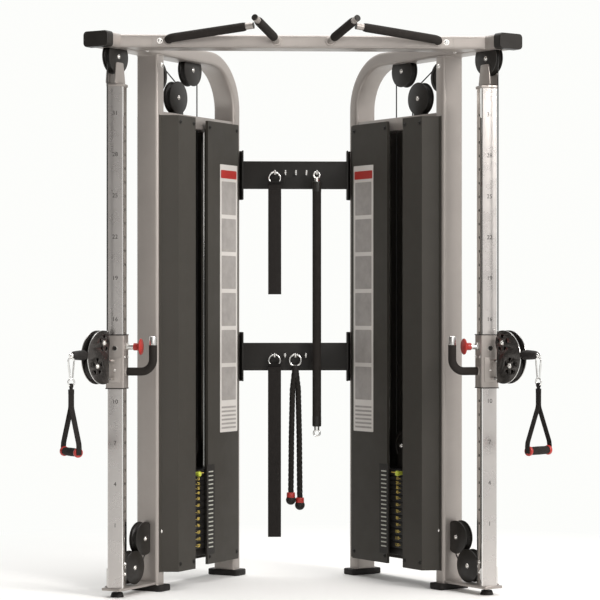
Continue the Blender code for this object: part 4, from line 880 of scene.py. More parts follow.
class Repeats:
    """Geometry Nodes that set one seed on many places, or a row of numbers one above another."""

    def __init__(self) -> None:
        """Builds both groups."""
        self.scatter = self.scatter_tree()
        self.numerals = self.numeral_tree()

    @staticmethod
    def tree(name: str, sockets: Sequence[tuple[str, str]]) -> tuple[bpy.types.NodeTree, Graph, Sock]:
        """A new geometry group with its inputs and its output.

        Args:
            name: the group's name.
            sockets: name and type of each input after the geometry.

        Returns:
            The tree, its graph and its input node's first output.
        """
        made = bpy.data.node_groups.new(name, "GeometryNodeTree")
        made.interface.new_socket("Geometry", in_out="INPUT", socket_type="NodeSocketGeometry")
        for label, kind in sockets:
            made.interface.new_socket(label, in_out="INPUT", socket_type=kind)
        made.interface.new_socket("Geometry", in_out="OUTPUT", socket_type="NodeSocketGeometry")
        graph = Graph(made)
        return made, graph, graph.make("NodeGroupInput")

    def scatter_tree(self) -> bpy.types.NodeTree:
        """A seed object on every point, turned by the point's own attribute.

        Returns:
            The group.
        """
        sockets = [("Seed", "NodeSocketObject"), ("Finish", "NodeSocketMaterial")]
        made, graph, given = self.tree("Scatter", sockets)
        seed = graph.make("GeometryNodeObjectInfo", None, {"Object": given.other("Seed")}, "Geometry")
        euler = graph.make(
            "GeometryNodeInputNamedAttribute", {"data_type": "FLOAT_VECTOR"}, {"Name": "turn"},
        )
        turn = graph.make("FunctionNodeEulerToRotation", None, {0: euler})
        inputs = {"Points": given, "Instance": seed, "Rotation": turn}
        copies = graph.make("GeometryNodeInstanceOnPoints", None, inputs)
        real = graph.make("GeometryNodeRealizeInstances", None, {0: copies})
        inputs = {"Geometry": real, "Material": given.other("Finish")}
        graph.make(
            "NodeGroupOutput", None, {0: graph.make("GeometryNodeSetMaterial", None, inputs)}, None,
        )
        return made

    def numeral_tree(self) -> bpy.types.NodeTree:
        """Numbers counted up, each a filled string, set one pitch apart along Y.

        Returns:
            The group.
        """
        sockets = [("First", "NodeSocketInt"), ("Step", "NodeSocketInt"), ("Count", "NodeSocketInt")]
        sockets += [
            ("Pitch", "NodeSocketFloat"), ("Size", "NodeSocketFloat"), ("Finish", "NodeSocketMaterial"),
        ]
        made, graph, given = self.tree("Numerals", sockets)
        start = made.nodes.new("GeometryNodeRepeatInput")
        end = made.nodes.new("GeometryNodeRepeatOutput")
        start.pair_with_output(end)
        graph.feed(start.inputs["Iterations"], given.other("Count"))
        turn = Sock(graph, start.outputs["Iteration"])
        number = turn * given.other("Step") + given.other("First")
        text = graph.make("FunctionNodeValueToString", None, {"Value": number})
        settings = {"align_x": "CENTER", "align_y": "MIDDLE"}
        inputs = {"String": text, "Size": given.other("Size")}
        letters = graph.make("GeometryNodeStringToCurves", settings, inputs)
        real = graph.make("GeometryNodeRealizeInstances", None, {0: letters})
        filled = graph.make("GeometryNodeFillCurve", None, {0: real})
        lift = graph.make("ShaderNodeCombineXYZ", None, {"Y": turn * given.other("Pitch")})
        placed = graph.make("GeometryNodeTransform", None, {"Geometry": filled, "Translation": lift})
        both = graph.make("GeometryNodeJoinGeometry", None, {0: placed})
        made.links.new(start.outputs["Geometry"], both.socket.node.inputs[0])
        made.links.new(both.socket, end.inputs["Geometry"])
        real = graph.make("GeometryNodeRealizeInstances", None, {0: Sock(graph, end.outputs["Geometry"])})
        inputs = {"Geometry": real, "Material": given.other("Finish")}
        graph.make(
            "NodeGroupOutput", None, {0: graph.make("GeometryNodeSetMaterial", None, inputs)}, None,
        )
        return made

    @staticmethod
    def run(tree: bpy.types.NodeTree, points: bpy.types.Mesh, values: dict[str, Any]) -> Form:
        """Runs a group on a mesh of points and takes its result.

        Args:
            tree: the group.
            points: the mesh that carries the modifier.
            values: input values by name.

        Returns:
            The form.
        """
        holder = Forge.linked(points, "repeats")
        modifier = holder.modifiers.new("Repeats", "NODES")
        modifier.node_group = tree
        for item in tree.interface.items_tree:
            if item.in_out == "INPUT" and item.name in values:
                modifier[item.identifier] = values[item.name]
        return Forge.evaluated(holder)

    def spread(self, seed: Form, paint: Paint, places: Sequence[Matrix]) -> Form:
        """Copies of a seed on every place.

        Args:
            seed: the form to repeat.
            paint: its finish.
            places: a frame for each copy.

        Returns:
            All copies as one form.
        """
        points = bpy.data.meshes.new("places")
        points.from_pydata([tuple(place.translation) for place in places], [], [])
        turns = points.attributes.new("turn", "FLOAT_VECTOR", "POINT")
        flat = [angle for place in places for angle in place.to_euler()]
        turns.data.foreach_set("vector", flat)
        source = Forge.linked(seed.mesh("seed"), "seed")
        form = self.run(self.scatter, points, {"Seed": source, "Finish": paint.value.material()})
        bpy.data.objects.remove(source, do_unlink=True)
        return form

    def numbers(self, first: int, step: int, count: int, pitch: float, size: float, paint: Paint) -> Form:
        """A column of numbers in the XY plane.

        Args:
            first: lowest number.
            step: from one to the next.
            count: how many.
            pitch: distance along Y.
            size: letter height.
            paint: their finish.

        Returns:
            The form.
        """
        values = {"First": first, "Step": step, "Count": count, "Pitch": pitch, "Size": size}
        values["Finish"] = paint.value.material()
        return self.run(self.numerals, bpy.data.meshes.new("numbers"), values)


class Piece:
    """One visible piece: forms with their finishes, joined in one mesh; build ties it to a CAD body."""

    def __init__(self, name: str, body: str, nodes: Sequence[str] = (), slot: str | None = None) -> None:
        """Starts an empty piece.

        Args:
            name: the object's name.
            body: the CAD body that it rides on.
            nodes: the CAD nodes that it stands for.
            slot: the record's material slot; kept but not used.
        """
        self.name = name
        self.body = body
        self.nodes = tuple(nodes)
        self.slot = slot
        self.parts: list[tuple[Form, Paint]] = []

    def add(self, paint: Paint, *forms: Form) -> "Piece":
        """Adds forms of one finish."""
        self.parts += [(form, paint) for form in forms]
        return self

    def mesh_object(self, frame: Matrix | None = None) -> bpy.types.Object:
        """Joins the forms into one object at the origin.

        Args:
            frame: where the forms' frame stands in the object's frame.

        Returns:
            The object.
        """
        whole = Form.joined([form for form, _ in self.parts])
        if frame is not None:
            whole = whole.moved(frame)
        mesh = whole.mesh(self.name)
        paints = list(dict.fromkeys(paint for _, paint in self.parts))
        for paint in paints:
            mesh.materials.append(paint.value.material())
        index = [paints.index(paint) for form, paint in self.parts for _ in form.faces]
        mesh.polygons.foreach_set("material_index", index)
        run = mesh.attributes.new("run", "FLOAT_VECTOR", "POINT")
        flat = np.zeros((len(whole.points), 3), np.float32)
        flat[:, :2] = whole.run
        run.data.foreach_set("vector", flat.ravel())
        mesh.shade_smooth()
        mesh.set_sharp_from_angle(angle=math.radians(32))
        mesh.validate()
        return Forge.linked(mesh, self.name)

    def build(self, frame: Matrix | None = None) -> bpy.types.Object:
        """Makes the object and ties it to its body.

        Args:
            frame: where the forms' frame stands in the object's frame.

        Returns:
            The object.
        """
        obj = self.mesh_object(frame)
        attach(obj, self.body)
        return self.declared(obj)

    def stretched(self, frame: Matrix, other: str, start: Point, end: Point) -> bpy.types.Object:
        """Makes the object with its transform baked in; it is tied to no body and does not stretch.

        Args:
            frame: where the forms' frame stands in the object's frame.
            other: the second body; not used.
            start: where it leaves its own body, in the forms' frame.
            end: where it reaches the other one, in the forms' frame.

        Returns:
            The object.
        """
        obj = self.mesh_object(frame)
        frame @ Vector(start)
        frame @ Vector(end)
        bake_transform(obj)
        return self.declared(obj)

    def declared(self, obj: bpy.types.Object) -> bpy.types.Object:
        """Hides the CAD nodes that a finished object stands for, and logs its faces.

        Args:
            obj: the object.

        Returns:
            The same object.
        """
        if self.nodes:
            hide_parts(*self.nodes)
        LOG.info("%s: %d faces", self.name, len(obj.data.polygons))
        return obj


class Side(Enum):
    """The two towers."""

    LEFT = 1
    RIGHT = -1

    @property
    def prefix(self) -> str:
        """The start of the tower's node and body names."""
        return f"{self.name.lower()}_"

    @property
    def frame(self) -> Matrix:
        """The matrix from the tower's axes to the object's."""
        cos, sin = math.cos(YAW), math.sin(YAW)
        rows = ((self.value * cos, self.value * sin, 0, -self.value * 0.600), (-sin, cos, 0, -0.024))
        return Matrix((*rows, (0, 0, 1, 0), (0, 0, 0, 1)))


# Sizes shared by the parts of a tower
YAW = math.radians(32.0)
POST_FRAME = Matrix.Translation((0, -0.237, 0)) @ Matrix.Rotation(math.radians(19.5), 4, "Z")
CARRIAGE_Z = 0.9765
CARRIAGE_FRAME = POST_FRAME @ Matrix.Translation((0, 0, CARRIAGE_Z))
CABLE_S = -0.305
SWIVEL_FRAME = Matrix.Translation((0, CABLE_S, CARRIAGE_Z))
TOP_FRONT = (-0.250, 2.107)
TOP_REAR = (0.295, 2.107)
SHROUD_WHEEL = (0.185, 1.985)
IDLER = (0.047, 2.062)
LOWER_REAR = (-0.063, 0.212)
LOWER_FRONT = (-0.136, 0.104)
FLOAT = (0.295, 0.5583)
LINE = 0.055
CABLE = 0.0026
PLACARD = {"low": 0.612, "high": 1.725, "centre": 0.478, "width": 0.138}


def bolt(radius: float = 0.0085, height: float = 0.0045, washer: float = 0.0115) -> Form:
    """A domed socket bolt on a washer, its seat at the origin.

    Args:
        radius: the head's radius.
        height: the head's height.
        washer: the washer's radius.

    Returns:
        The form.
    """
    base = 0.0012
    dome = arc((0, base), 1.0, 90, 20, 5)
    profile = [
        (0.0, base + height * 0.55), (radius * 0.42, base + height * 0.50), (radius * 0.46, base + height),
    ]
    profile += [(radius * max(x, 0.5), base + height * (y - base)) for x, y in dome[2:]]
    profile += [(radius, base), (washer - 0.0004, base), (washer, base * 0.5), (washer, 0.0), (0.0, 0.0)]
    return Forge.turned(profile, 20)


def on_face(point: Point, normal: Point) -> Matrix:
    """A place on a surface whose Z axis leaves it."""
    return axis_frame(point, normal)


def wheel(line: float, rim: float, width: float, bore: float) -> Form:
    """A pulley with a round-bottomed groove and a dished web, about Z.

    Args:
        line: the cable's radius.
        rim: outer radius.
        width: its width.
        bore: the bore's radius.

    Returns:
        The form.
    """
    half = width / 2
    floor = line - CABLE - 0.0004
    lip = 0.0012
    groove = [
        (floor + CABLE * (1 - math.cos(t)) * 1.2, CABLE * 1.35 * math.sin(t))
        for t in np.radians([60, 30, 0, -30, -60])
    ]
    hub = bore + 0.010
    web = half * 0.62
    dish = floor - 0.006
    profile = [(bore, half), (hub, half), (hub + 0.003, web), (dish, web), (dish + 0.002, half)]
    profile += [(rim - lip, half), (rim, half - lip), *groove, (rim, lip - half), (rim - lip, -half)]
    profile += [(dish + 0.002, -half), (dish, -web), (hub + 0.003, -web), (hub, -half), (bore, -half)]
    return Forge.turned(profile, 56).moved(Matrix.Rotation(math.pi / 2, 4, "Y"))


def disc_outline(centre: Plan, radius: float, chord: float | None = None, steps: int = 56) -> list[Plan]:
    """A disc, cut level above `chord` where one is given.

    Args:
        centre: its centre in s and z.
        radius: its radius.
        chord: the height of the cut.
        steps: chords round it.

    Returns:
        The outline.
    """
    if chord is None:
        return circle(centre, radius, steps)
    edge = math.degrees(math.asin((chord - centre[1]) / radius))
    return arc(centre, radius, 180 - edge, 360 + edge, steps)


@dataclass
class Guards:
    """Two black guard plates about one pulley, with the bolt that carries it."""

    centre: Plan
    outline: list[Plan]
    gap: float = 0.026
    wall: float = 0.004
    edge: float = 0.0011

    def dress(self, piece: Piece, repeats: Repeats) -> None:
        """Adds the plates with rounded rims, the axle and the bolt heads.

        Args:
            piece: the piece that carries them.
            repeats: the repeating groups.
        """
        inner, outer = self.gap / 2, self.gap / 2 + self.wall
        plate = Forge.plate(self.outline, inner, outer, self.edge)
        piece.add(Paint.GUARD, plate.moved(ALONG), plate.at(0, 0, -inner - outer).moved(ALONG))
        places = [on_face((sign * outer, *self.centre), (sign, 0, 0)) for sign in (1, -1)]
        piece.add(Paint.ZINC, repeats.spread(bolt(0.0075, 0.0045, 0.0098), Paint.ZINC, places))
        axle = Forge.rod((-inner - 0.002, *self.centre), (inner + 0.002, *self.centre), 0.006)
        piece.add(Paint.STEEL, axle)


@dataclass
class SideFrame:
    """The welded frame of one tower."""

    side: Side
    width: float = 0.100
    depth: float = 0.055
    corner: float = 0.012
    top: float = 2.164
    front: float = -0.372
    rear: float = 0.590
    arch: float = 0.200
    foot: float = 0.025
    post_s: float = -0.237

    def tube(self) -> Form:
        """The top tube, the arch and the rear upright, with the two pulley slots.

        Returns:
            The form.
        """
        centre = (self.rear - self.arch, self.top - self.arch)
        line = [
            (self.front, self.top), *arc(centre, self.arch, 90, 0, 28), (self.rear, self.foot - 0.002),
        ]
        section = rounded(self.width, self.depth, self.corner)
        tube = Forge.swept([(0, s, z) for s, z in line], section)
        for s, _ in (TOP_FRONT, TOP_REAR):
            slot = Forge.block(
                (-0.0125, s - 0.062, self.top - 0.040), (0.0125, s + 0.062, self.top + 0.010), 0.0,
            )
            tube = Forge.cut(tube, slot)
        return tube

    def upright(self) -> Form:
        """The main upright with its two pulley slots.

        Returns:
            The form.
        """
        section = rounded(self.width, self.depth, self.corner)
        under = self.top - self.depth / 2
        post = Forge.swept([(0, 0, self.foot - 0.002), (0, 0, under + 0.002)], section)
        low = Forge.block(
            (-0.0125, -0.040, LOWER_REAR[1] - 0.062), (0.0125, 0.008, LOWER_REAR[1] + 0.062), 0.0,
        )
        high = Forge.block((-0.0125, -0.020, IDLER[1] - 0.062), (0.0125, 0.040, IDLER[1] + 0.062), 0.0)
        return Forge.cut(Forge.cut(post, low), high)

    def stub(self) -> Form:
        """The short beam end that leaves the tube's inner face, cut to the tube's slant.

        Returns:
            The form.
        """
        section = [(y - 0.234, z + self.top) for y, z in rounded(0.120, 0.050, 0.010)]
        stub = Forge.swept([(-0.70, 0, 0), (-0.586, 0, 0)], section, (0, 1, 0))
        slope = math.tan(YAW)
        root = Side.LEFT.frame @ Vector((self.width / 2 - 0.012, 0, 0))
        for point in stub.points:
            if point[0] < -0.69:
                point[0] = root.x + slope * (point[1] - root.y)
        return stub.moved(Side.LEFT.frame.inverted())

    def feet(self) -> list[Form]:
        """The rubber shoes under both uprights."""
        shoe = Forge.plate(rounded(0.150, 0.080, 0.016), 0.0, self.foot, 0.004)
        return [shoe.at(0, s, 0) for s in (0.0, self.rear)]

    def beads(self) -> list[Form]:
        """Weld beads where the uprights meet the tube and the feet.

        Returns:
            The forms.
        """
        made = []
        for s, z in ((0.0, self.top - self.depth / 2), (0.0, self.foot), (self.rear, self.foot)):
            ring = [(n, y + s, z) for n, y in rounded(self.width, self.depth, self.corner, 4)]
            made.append(Forge.hoop(spaced(ring + [ring[0]], 0.02)[:-1], 0.0022, (0, 0, 1), 8))
        return made

    def dress_base(self, piece: Piece) -> None:
        """Adds the base link and the levelling foot.

        Args:
            piece: the frame's piece.
        """
        s = self.post_s
        link = Forge.plate(
            softened([(-0.045, s - 0.045), (0.045, s - 0.045), (0.045, -0.02), (-0.045, -0.02)], 0.008),
            0.027,
            0.037,
            0.001,
        )
        piece.add(Paint.SILVER, link)
        pad = [(0.0, 0.018), (0.019, 0.018), (0.0215, 0.0165), (0.0255, 0.004), (0.026, 0.0), (0.0, 0.0)]
        piece.add(Paint.RUBBER, Forge.turned(pad).at(0, s, 0))
        piece.add(Paint.STEEL, Forge.rod((0, s, 0.017), (0, s, 0.030), 0.006))
        nut = Forge.plate(circle((0, 0), 0.0105, 6), 0.0185, 0.0265, 0.0008)
        piece.add(Paint.ZINC, nut.at(0, s, 0))

    def dress_guards(self, piece: Piece, repeats: Repeats) -> None:
        """Adds the pulley guards and the idler behind the upright.

        Args:
            piece: the frame's piece.
            repeats: the repeating groups.
        """
        under = self.top - self.depth / 2 + 0.0015
        Guards(TOP_FRONT, disc_outline(TOP_FRONT, 0.066, under)).dress(piece, repeats)
        Guards(TOP_REAR, disc_outline(TOP_REAR, 0.066, under)).dress(piece, repeats)
        half = math.degrees(math.acos((-0.026 - LOWER_REAR[0]) / 0.066))
        Guards(LOWER_REAR, arc(LOWER_REAR, 0.066, half, 360 - half, 48)).dress(piece, repeats)
        front = [(max(s, -0.1948), z) for s, z in circle(LOWER_FRONT, 0.066, 56)]
        Guards(LOWER_FRONT, front).dress(piece, repeats)
        ear = softened(
            [(0.024, 2.030), (0.050, 2.046), (0.062, 2.062), (0.050, 2.078), (0.024, 2.094)], 0.006,
        )
        cheek = Forge.plate(ear, 0.013, 0.017, 0.0008)
        piece.add(Paint.SILVER, cheek.moved(ALONG), cheek.at(0, 0, -0.030).moved(ALONG))
        piece.add(Paint.BLACK, wheel(LINE, 0.0615, 0.020, 0.006).at(0, *IDLER))
        places = [on_face((sign * 0.017, *IDLER), (sign, 0, 0)) for sign in (1, -1)]
        piece.add(Paint.ZINC, repeats.spread(bolt(0.0075, 0.0045, 0.0098), Paint.ZINC, places))

    def build(self, repeats: Repeats) -> None:
        """Makes the frame's piece.

        Args:
            repeats: the repeating groups.
        """
        prefix = self.side.prefix
        piece = Piece(prefix + "frame_looks", "frame", [prefix + "side_frame"], "silver_paint")
        piece.add(Paint.SILVER, self.tube(), self.upright(), self.stub(), *self.beads())
        piece.add(Paint.RUBBER, *self.feet())
        self.dress_base(piece)
        self.dress_guards(piece, repeats)
        face = self.width / 2
        spots = [
            (face, 0.006, 0.236),
            (face, 0.006, 2.098),
            (face, -0.100, 2.150),
            (-face, 0.0, 2.098),
            (-face, 0.0, 0.236),
        ]
        places = [on_face(spot, (math.copysign(1, spot[0]), 0, 0)) for spot in spots]
        piece.add(Paint.ZINC, repeats.spread(bolt(), Paint.ZINC, places))
        piece.build(self.side.frame)


@dataclass
class EndCap:
    """The moulded cap over the top tube's front end."""

    side: Side
    width: float = 0.114
    height: float = 0.061
    face: float = 0.014
    overlap: float = 0.024

    def build(self) -> None:
        """Makes the cap with its collar line."""
        prefix = self.side.prefix
        piece = Piece(prefix + "end_cap_looks", "frame", [prefix + "end_cap"], "black_plastic")
        low, high = -0.372 - self.face, -0.372 + self.overlap
        outline = rounded(self.width, self.height, 0.015, 7)
        cap = Forge.swept([(0, high, 2.164), (0, low + 0.007, 2.164)], outline)
        steps = [(0.0, 1.0), (0.0025, 0.988), (0.0048, 0.966), (0.0064, 0.93), (0.007, 0.88)]
        nose = self.nose(outline, low + 0.007, steps)
        piece.add(Paint.BLACK, cap, nose)
        collar = Forge.swept(
            [(0, high, 2.164), (0, high + 0.003, 2.164)],
            rounded(self.width - 0.006, self.height - 0.003, 0.013, 6),
        )
        piece.add(Paint.BLACK, collar)
        piece.build(self.side.frame)

    @staticmethod
    def nose(outline: Sequence[Plan], start: float, steps: Sequence[Plan]) -> Form:
        """The cap's rounded front, a stack of shrinking outlines.

        Args:
            outline: the cap's outline.
            start: where it begins along s.
            steps: how far forward and how large each outline is.

        Returns:
            The form.
        """
        shape = np.array(outline)
        count = len(shape)
        inset = 0.012
        points = []
        for ahead, share in steps:
            size = shape - np.sign(shape) * inset * (1 - share)
            points += [(x, start - ahead, z + 2.164) for x, z in size]
        faces = []
        for level in range(len(steps) - 1):
            for step in range(count):
                after = (step + 1) % count
                first, second = level * count, (level + 1) * count
                faces.append((first + step, first + after, second + after, second + step))
        faces.append(tuple(range((len(steps) - 1) * count, len(steps) * count)))
        faces.append(tuple(range(count)))
        return Form(np.array(points, float), faces).outward()


@dataclass
class GuidePost:
    """The square post with its holes and its numbers."""

    side: Side
    size: float = 0.0635
    wall: float = 0.004
    corner: float = 0.005
    bottom: float = 0.0373
    top: float = 1.990
    holes: int = 31
    first: float = 0.281
    pitch: float = 0.0535
    hole: float = 0.006

    def tube(self, repeats: Repeats) -> tuple[Form, Form]:
        """The post, in two forms: the front face and the rest.

        Args:
            repeats: the repeating groups.

        Returns:
            The front, then the other faces.
        """
        section = rounded(self.size, self.size, self.corner)
        post = Forge.swept([(0, 0, self.bottom), (0, 0, self.top)], section)
        inside = self.size - 2 * self.wall
        bore = Forge.block(
            (-inside / 2, -inside / 2, self.bottom + 0.003),
            (inside / 2, inside / 2, self.top - 0.003),
            0.0,
        )
        post = Forge.cut(post, bore)
        cutter = Forge.rod((self.size / 2 - 0.012, 0, 0), (self.size / 2 + 0.004, 0, 0), self.hole, 20)
        spots = [
            Matrix.Translation((0, 0, self.first + index * self.pitch))
            for index in range(self.holes)
        ]
        post = Forge.cut(post, repeats.spread(cutter, Paint.POST_SIDE, spots))
        return post.split(lambda normal, centre: normal[1] < -0.92 and centre[1] < -self.size / 2 + 0.001)

    def build(self, repeats: Repeats) -> None:
        """Makes the post with its head and base brackets.

        Args:
            repeats: the repeating groups.
        """
        prefix = self.side.prefix
        piece = Piece(prefix + "post_looks", "frame", [prefix + "guide_post"], "chrome")
        front, rest = self.tube(repeats)
        piece.add(Paint.POST_FRONT, front.moved(POST_FRAME))
        piece.add(Paint.POST_SIDE, rest.moved(POST_FRAME))
        half = self.size / 2
        head = Forge.block(
            (-half - 0.003, -half - 0.003, self.top),
            (half + 0.003, half + 0.003, self.top + 0.012),
            0.0025,
        )
        piece.add(Paint.SILVER, head.moved(POST_FRAME))
        tab = softened([(-0.284, 2.001), (-0.212, 2.001), (-0.226, 2.084), (-0.274, 2.084)], 0.008)
        plate = Forge.plate(tab, 0.0176, 0.0226, 0.0010)
        piece.add(Paint.SILVER, plate.moved(ALONG), plate.at(0, 0, -0.0402).moved(ALONG))
        cheek = Forge.block(
            (-half - 0.004, -0.024, self.bottom + 0.001), (-half, 0.024, self.bottom + 0.075), 0.001,
        )
        flange = Forge.block(
            (-half - 0.012, -0.022, self.bottom + 0.0015),
            (-half - 0.002, 0.022, self.bottom + 0.006),
            0.001,
        )
        piece.add(Paint.SILVER, cheek.moved(POST_FRAME), flange.moved(POST_FRAME))
        spots = [on_face((-half - 0.004, 0, self.bottom + z), (-1, 0, 0)) for z in (0.024, 0.054)]
        spots += [on_face((half, 0, self.bottom + z), (1, 0, 0)) for z in (0.052, 0.092)]
        heads = repeats.spread(bolt(0.0065, 0.004, 0.0085), Paint.ZINC, spots)
        piece.add(Paint.ZINC, heads.moved(POST_FRAME))
        count = (self.holes - 1) // 3 + 1
        numbers = repeats.numbers(1, 3, count, 3 * self.pitch, 0.023, Paint.INK)
        upright = Matrix(
            ((self.side.value, 0, 0, 0), (0, 0, -1, -half - 0.0002), (0, 1, 0, 0), (0, 0, 0, 1))
        )
        upright = Matrix.Translation((0, 0, self.first)) @ upright
        piece.add(Paint.INK, numbers.moved(POST_FRAME @ upright))
        piece.build(self.side.frame)


@dataclass
class Shrouds:
    """Finishes of the folded sheets, with their screws and the placard."""

    side: Side
    bottom: float = 0.075
    top: float = 1.898

    def build(self, repeats: Repeats, nodes: dict[str, bpy.types.Object]) -> None:
        """Paints the CAD sheets and adds what is fixed to them.

        Args:
            repeats: the repeating groups.
            nodes: the CAD nodes.
        """
        prefix = self.side.prefix
        for name in ("front_shroud", "rear_shroud", "outer_shroud"):
            mesh = nodes[prefix + name].data
            mesh.materials.clear()
            mesh.materials.append(Paint.CHARCOAL.value.material())
            mesh.shade_smooth()
            mesh.set_sharp_from_angle(angle=math.radians(20))
        piece = Piece(prefix + "panel_fittings", "frame", [], "charcoal_sheet")
        spots = []
        for n, s in (
            (0.111, 0.050),
            (0.111, 0.150),
            (0.076, 0.330),
            (0.076, 0.545),
            (-0.076, 0.045),
            (-0.076, 0.540),
        ):
            for z in (self.bottom + 0.030, self.top - 0.026):
                spots.append(on_face((n, s, z), (math.copysign(1, n), 0, 0)))
        piece.add(Paint.STEELBLACK, repeats.spread(bolt(0.0065, 0.0035, 0.0090), Paint.STEELBLACK, spots))
        self.dress_placard(piece, repeats)
        piece.build(self.side.frame)

    def dress_placard(self, piece: Piece, repeats: Repeats) -> None:
        """Adds the bare placard and the strip of marks on the rear sheet.

        Args:
            piece: the fittings' piece.
            repeats: the repeating groups.
        """
        out = 0.0760
        card = PLACARD
        low, high, centre, width = card["low"], card["high"], card["centre"], card["width"]
        sheet = Forge.plate(rounded(width, high - low, 0.004), out, out + 0.0007, 0.0)
        piece.add(Paint.PLACARD, sheet.at(centre, (low + high) / 2, 0).moved(ALONG))
        band = Forge.plate(rounded(width - 0.012, 0.034, 0.004), out + 0.0007, out + 0.0010, 0.0)
        piece.add(Paint.RED, band.at(centre, high - 0.040, 0).moved(ALONG))
        box = Forge.plate(rounded(width - 0.024, 0.138, 0.004), 0.0, 0.0004, 0.0).moved(ALONG)
        first = high - 0.139
        places = [
            Matrix.Translation((out + 0.0007, centre, first - index * 0.1545))
            for index in range(6)
        ]
        piece.add(Paint.PLACARD_BOX, repeats.spread(box, Paint.PLACARD_BOX, places))
        line = Forge.plate(rounded(width - 0.024, 0.008, 0.002), 0.0, 0.0004, 0.0).moved(ALONG)
        places = [
            Matrix.Translation((out + 0.0007, centre, low + 0.018 + index * 0.017))
            for index in range(6)
        ]
        piece.add(Paint.PLACARD_BOX, repeats.spread(line, Paint.PLACARD_BOX, places))
        strip = Forge.plate(rounded(0.060, 0.370, 0.003), out, out + 0.0006, 0.0)
        piece.add(Paint.INK, strip.at(0.336, 0.300, 0).moved(ALONG))
        dash = Forge.plate(rounded(0.036, 0.0050, 0.0015), 0.0, 0.0004, 0.0).moved(ALONG)
        places = [
            Matrix.Translation((out + 0.0006, 0.336, 0.145 + index * 0.0172))
            for index in range(19)
        ]
        piece.add(Paint.PALE, repeats.spread(dash, Paint.PALE, places))


@dataclass
class WeightStack:
    """The stack's base, plates, rods and cross plate."""

    side: Side
    base: float = 0.112
    base_height: float = 0.030
    length: float = 0.276
    width: float = 0.120
    thick: int = 8
    thick_pitch: float = 0.0275
    thin: int = 4
    thin_pitch: float = 0.0190
    rod: float = 0.0125
    rod_offset: float = 0.110
    cross: float = 1.862
    cross_height: float = 0.052

    def plates(self) -> list[tuple[float, float]]:
        """Lower and upper face of every plate.

        Returns:
            The pairs, from the bottom up.
        """
        level = self.base + self.base_height
        made = []
        for pitch in [self.thick_pitch] * self.thick + [self.thin_pitch] * self.thin:
            made.append((level, level + pitch - 0.0022))
            level += pitch
        return made

    def dress_marks(self, piece: Piece, repeats: Repeats) -> None:
        """Adds the plates' numbers and the sockets for the selector.

        Args:
            piece: the stack's piece.
            repeats: the repeating groups.
        """
        face = self.width / 2 + 0.0002
        turn = self.side.value
        upright = Matrix(((0, 0, 1, 0), (turn, 0, 0, 0), (0, 1, 0, 0), (0, 0, 0, 1)))
        rows = ((self.thick_pitch, self.thick, 0), (self.thin_pitch, self.thin, self.thick))
        for pitch, count, below in rows:
            start = self.plates()[below][0] + pitch * 0.46
            last = 120 if below == 0 else 40
            column = repeats.numbers(last, -10, count, pitch, 0.0175, Paint.YELLOW)
            piece.add(Paint.YELLOW, column.moved(Matrix.Translation((face, 0.266, start)) @ upright))
        spots = [Matrix.Translation((0, 0, (low + high) / 2)) for low, high in self.plates()]
        socket = Forge.rod((face - 0.004, 0.235, 0), (face, 0.235, 0), 0.0052, 16)
        piece.add(Paint.INK, repeats.spread(socket, Paint.INK, spots))
        tick = Forge.block((face - 0.001, 0.246, -0.0014), (face + 0.0001, 0.250, 0.0014), 0.0)
        piece.add(Paint.YELLOW, repeats.spread(tick, Paint.YELLOW, spots))

    def build(self, repeats: Repeats) -> None:
        """Makes the stack.

        Args:
            repeats: the repeating groups.
        """
        prefix = self.side.prefix
        piece = Piece(prefix + "stack_looks", "frame", [prefix + "weight_stack"], "cast_iron")
        front, rear = 0.0278, 0.5622
        top = self.base + self.base_height
        piece.add(Paint.STEELBLACK, Forge.block((-0.050, front, self.base), (0.050, rear, top), 0.003))
        middle = FLOAT[0]
        outline = rounded(self.width, self.length, 0.006, 4)
        for low, high in self.plates():
            piece.add(Paint.IRON, Forge.plate(outline, low, high, 0.0016).at(0, middle, 0))
        core = Forge.block(
            (-0.055, middle - 0.132, top), (0.055, middle + 0.132, self.plates()[-1][1] - 0.001), 0.0,
        )
        piece.add(Paint.IRON, core)
        cross_top = self.cross + self.cross_height
        cross = Forge.block((-0.045, front, self.cross), (0.045, rear, cross_top), 0.003)
        for s in (middle - LINE, middle + LINE):
            way = Forge.rod((0, s, self.cross - 0.01), (0, s, cross_top + 0.01), 0.009, 20)
            cross = Forge.cut(cross, way)
        piece.add(Paint.SILVER, cross)
        for sign in (-1, 1):
            s = middle + sign * self.rod_offset
            piece.add(Paint.CHROME, Forge.rod((0, s, top - 0.01), (0, s, self.cross + 0.01), self.rod))
        skirt = arc(SHROUD_WHEEL, 0.066, -65, 245, 48)
        skirt += [(skirt[-1][0], cross_top - 0.002), (skirt[0][0], cross_top - 0.002)]
        Guards(SHROUD_WHEEL, skirt).dress(piece, repeats)
        self.dress_marks(piece, repeats)
        piece.build(self.side.frame)


